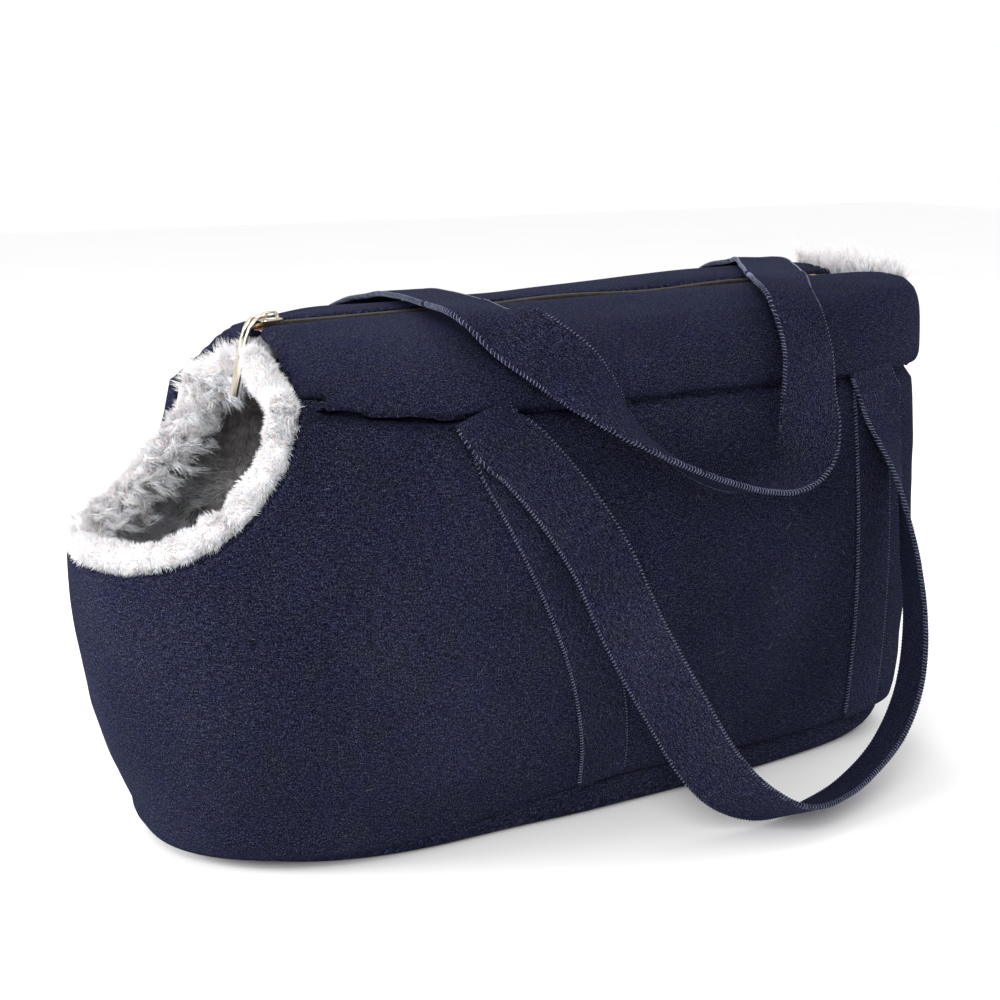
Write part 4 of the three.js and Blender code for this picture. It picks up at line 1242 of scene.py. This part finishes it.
FAR_FRONT_SPAN = out_of_fold(HANDLE_FRONT, FRONT_Y, (-2, -2, -1.2, -0.6)) + [
    ((-64, FRONT_Y + 1.2, 210), (SKEW, 1, 0.05)),
    ((-57, 98, 219), (0, 1, 0.25)),
    ((-43, 82, 235.5), (0, 0.7, 0.7)),
    ((-36, 58, TOP_FRONT - 5.4), (0, 0.15, 1)),
    ((-45, 8, TOP_FRONT - 1), (0, 0, 1)),
    ((-54, BEND_Y + 8, TOP_FRONT), (0, 0, 1)),
]
FAR_REAR_SPAN = out_of_fold(HANDLE_REAR, REAR_Y, (-1, -1, -0.5, 0)) + [
    ((168, REAR_Y + 1.2, 210), (0.08, 1, 0.05)),
    ((174, 85, 223), (0.1, 1, 0.2)),
    ((185, 72, 245.4), (0, 0.7, 0.7)),
    ((185, 42, TOP_REAR - 1), (0, 0, 1)),
    ((160, 0, TOP_REAR - 0.3), (0, 0, 1)),
    ((133, BEND_Y + 7, TOP_REAR), (0, 0, 1)),
]
FAR_LOOP = [
    ((-53.6, BEND_Y + 9, TOP_FRONT + 0.15), (0, 0, 1)),
    ((-55.2, BEND_Y - 0.2, TOP_FRONT + 0.1), (0, 0, 1)),
    ((-59, -74, 248), (0, -0.4, 0.9)),
    ((-51, -94, 240), (-0.1, -1, 0.2)),
    ((-35, -104, 227), (0, -1, 0.1)),
    ((-19, -110, 212), (0.3, -0.8, 0.45)),
    ((0, -111.5, 195), (0.5, -0.4, 0.75)),
    ((22, -111, 180), (0.5, -0.1, 0.85)),
    ((44, -110.5, 168.5), (0.3, 0.1, 0.95)),
    ((65, -110, 161.5), (0.1, 0.15, 1)),
    ((83, -109.5, 161), (-0.15, 0.05, 0.98)),
    ((97.5, -107, 169), (-0.6, -0.3, 0.7)),
    ((104.5, -104, 184), (-0.5, -0.8, 0.2)),
    ((106.5, -100, 202), (-0.15, -1, 0)),
    ((107, -97, 224), (0, -1, 0.1)),
    ((106, -88, 244), (0, -0.8, 0.6)),
    ((114, -68, 252), (0, -0.3, 0.95)),
    ((128.6, BEND_Y - 0.2, TOP_REAR + 0.1), (0, 0, 1)),
    ((132.6, BEND_Y + 7, TOP_REAR + 0.15), (0, 0, 1)),
]
for end, route in (("front", FAR_FRONT_SPAN), ("rear", FAR_REAR_SPAN)):
    span = build_strap(f"handle_webbing_far_{end}", route, STRAP_W, STRAP_T)
    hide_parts(f"handle_far_{end}")
    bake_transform(span)
far_loop = build_strap("handle_webbing_far_loop", FAR_LOOP, STRAP_W, STRAP_T)
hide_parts("handle_far_loop")
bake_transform(far_loop)


# ---------------------------------------------------------------- zip
CHAIN_Z, SLIDER_L = 240.0, 10.5
CHAIN_END_X, TAPE_END_X = 190.0, 196.0
SLIDE_RANGE, TOOTH_PITCH = 305.0, 1.25
SLACK, SLACK_LENGTH = 0.75, 17.0    # height and length of the waves in the zip
# the tape's section: distance from the middle of the zip, and drop below the chain
TAPE_OUTLINE = [(2.6, 0.95), (4.2, 0.75), (5.6, 0.7), (7.6, 0.4)]
TAPE_OUTLINE += [(7.6, 1.0), (5.6, 1.3), (4.2, 1.35), (2.6, 1.5)]


def tooth(x, side, y_in, y_out, z, size):
    """One turn of the coil, a small rounded loop that reaches in from its tape."""
    ring = []
    for k in range(4):
        y = y_out + (y_in - y_out) * k / 3
        r = size * (0.8, 1.0, 1.05, 0.7)[k]
        for c in range(6):
            angle = 2 * math.pi * c / 6
            ring.append((x + r * 0.62 * math.cos(angle), side * y, z + r * 1.35 * math.sin(angle)))
    return ring


def zip_lift(x):
    """Climb of the zip and the slack waves of its tape."""
    slack = smooth((x + 70) / 60) * smooth((CHAIN_END_X + 4 - x) / 40)
    return zip_climb(x) + slack * (0.35 + SLACK * math.sin(x / SLACK_LENGTH))


def teeth(name, x0, x1, rows):
    """Rows of (side, shift, inner y, outer y, height, size), one tooth per pitch."""
    verts, faces = [], []
    for n in range(int((x1 - x0) / TOOTH_PITCH)):
        for side, shift, y_in, y_out, z, size in rows:
            x = x0 + (n + 0.5 + shift) * TOOTH_PITCH
            faces += [tuple(len(verts) + k for k in q) for q in tube_faces(4, 6)]
            verts += tooth(x, side, y_in, y_out, z + zip_lift(x), size)
    obj = new_object(name, verts, faces, COIL)
    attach(obj, "bag")
    return obj


chain_x = SLIDER_X + SLIDER_L + GAP
closed_chain = teeth("zip_chain_closed", chain_x, CHAIN_END_X, [
    (-1, 0.0, -0.5, 2.7, CHAIN_Z + 0.25, 0.95), (1, 0.5, -0.5, 2.7, CHAIN_Z + 0.25, 0.95)])
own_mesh(closed_chain)
for side_name, side_sign in SIDES.items():
    row = teeth(f"zip_teeth_{side_name}", SLIDER_X - 0.5, CHAIN_END_X - 2, [
        (side_sign, 0.25 * side_sign, 1.25, 2.9, CHAIN_Z - 0.15, 0.72)])
    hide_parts(f"zip_coil_{side_name}")
    verts = []
    cells = 150
    for k in range(cells + 1):
        x = ZIP_FRONT_X + (TAPE_END_X - ZIP_FRONT_X) * k / cells
        for y, drop in TAPE_OUTLINE:
            lift = 0.18 * wobble(x, y, 0, 9, 3.3 + side_sign)
            verts.append((x, side_sign * y, CHAIN_Z - drop + lift + zip_lift(x)))
    tape_faces = tube_faces(cells + 1, len(TAPE_OUTLINE))
    tape = new_object(f"zip_tape_{side_name}_cloth", verts, tape_faces, TAPE)
    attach(tape, "bag")
    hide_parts(f"zip_tape_{side_name}")


def rounded_copy(node, name, material, width, body):
    """One of the zip's hard parts with softened edges."""
    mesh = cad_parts[node].data.copy()
    bm = bmesh.new()
    bm.from_mesh(mesh)
    bmesh.ops.remove_doubles(bm, verts=bm.verts, dist=1e-6)
    bmesh.ops.dissolve_limit(bm, angle_limit=math.radians(4), verts=bm.verts, edges=bm.edges)
    sharp = [e for e in bm.edges if len(e.link_faces) == 2 and e.calc_face_angle(0) > math.radians(35)]
    bmesh.ops.bevel(bm, geom=sharp, offset=width * MM, segments=3, affect="EDGES", clamp_overlap=True)
    bm.to_mesh(mesh)
    bm.free()
    mesh.materials.clear()
    mesh.materials.append(material)
    smooth_faces(mesh)
    mesh.polygons.foreach_set("material_index", [0] * len(mesh.polygons))
    obj = link_object(name, mesh)
    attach(obj, body)
    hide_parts(node)


rounded_copy("zip_slider", "zip_slider_plated", NICKEL, 0.25, "slider")
rounded_copy("zip_pull_tab", "zip_pull_plated", NICKEL, 0.3, "pull")
for stop in ("zip_top_stop_near", "zip_top_stop_far", "zip_bottom_stop"):
    rounded_copy(stop, f"{stop}_crimped", BRASS, 0.3, "bag")
rounded_copy("zip_end_tab", "zip_end_cloth", TAPE, 0.2, "bag")

base_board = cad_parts["base_board"]
base_board.data.materials.clear()
base_board.data.materials.append(BOARD)


# ---------------------------------------------------------------- lint
LINT_COUNT = 46


def build_lint():
    rng = np.random.default_rng(31)
    roots, dirs, sizes = [], [], []
    for _ in range(LINT_COUNT):
        x = rng.uniform(-150, 200)
        z = rng.uniform(40, 195)
        y = -half_width(x, z) - 0.6 - max(wall_relief(x, -half_width(x, z), z), 0)
        roots.append((x, y, z))
        dirs.append((rng.normal(), rng.normal(0, 0.05), rng.normal()))
        sizes.append(rng.uniform(1.5, 6))
    curl = rng.normal(0, 0.35, (LINT_COUNT, 3)) * np.array([1, 0.15, 1])
    strands("lint_hairs", roots, dirs, sizes, 0.045, curl, 0.6, 0.6, material=LINT)


build_lint()

# ---------------------------------------------------------------- floor, light and camera
bpy.ops.mesh.primitive_plane_add(size=8, location=(0, 0, -0.0004))
floor = bpy.context.object
floor.name = "studio_floor"
ground = Shader("studio_white")
speck = ground.noise(3)
ground.link(ground.ramp(speck, [(0.3, (0.94, 0.94, 0.94)), (0.7, (0.955, 0.955, 0.955))]), "Base Color")
ground.set(Roughness=0.7)
floor.data.materials.append(ground.material)

world = bpy.data.worlds.new("studio")
bpy.context.scene.world = world
world.use_nodes = True
world.node_tree.nodes["Background"].inputs["Color"].default_value = (1.0, 1.0, 1.0, 1)
world.node_tree.nodes["Background"].inputs["Strength"].default_value = 1.0


def area_light(name, location, target, size, power):
    light = bpy.data.lights.new(name, "AREA")
    light.shape = "DISK"
    light.size = size
    light.energy = power
    obj = link_object(name, light)
    obj.location = location
    obj.rotation_euler = (Vector(target) - Vector(location)).to_track_quat("-Z", "Y").to_euler()


area_light("key", (-1.0, -1.2, 1.4), (0, 0, 0.12), 0.7, 13)
area_light("top", (-0.2, 0.3, 1.9), (0, 0, 0.15), 0.8, 4)
area_light("back", (0.5, 1.5, 1.2), (0, 0, 0.15), 1.0, 8)
area_light("mouth", (-1.0, -1.3, 0.85), (-0.18, 0.03, 0.17), 0.4, 9)
area_light("side", (-1.5, 0.4, 0.55), (-0.15, 0, 0.12), 0.6, 22)

AZIMUTH, ELEVATION, CAMERA_DISTANCE = math.radians(-30.4), math.radians(13), 0.859
AIM = Vector((-0.0072, 0, 0.1436))
LEVEL = math.cos(ELEVATION)
BACK = Vector((math.sin(AZIMUTH) * LEVEL, -math.cos(AZIMUTH) * LEVEL, math.sin(ELEVATION)))
camera_data = bpy.data.cameras.new("camera")
camera_data.lens = 61.2
camera_data.sensor_width = 36
camera = link_object("camera", camera_data)
camera.location = AIM + BACK * CAMERA_DISTANCE
camera.rotation_euler = (-BACK).to_track_quat("-Z", "Y").to_euler()
bpy.context.scene.camera = camera
bpy.context.scene.view_settings.view_transform = "Standard"
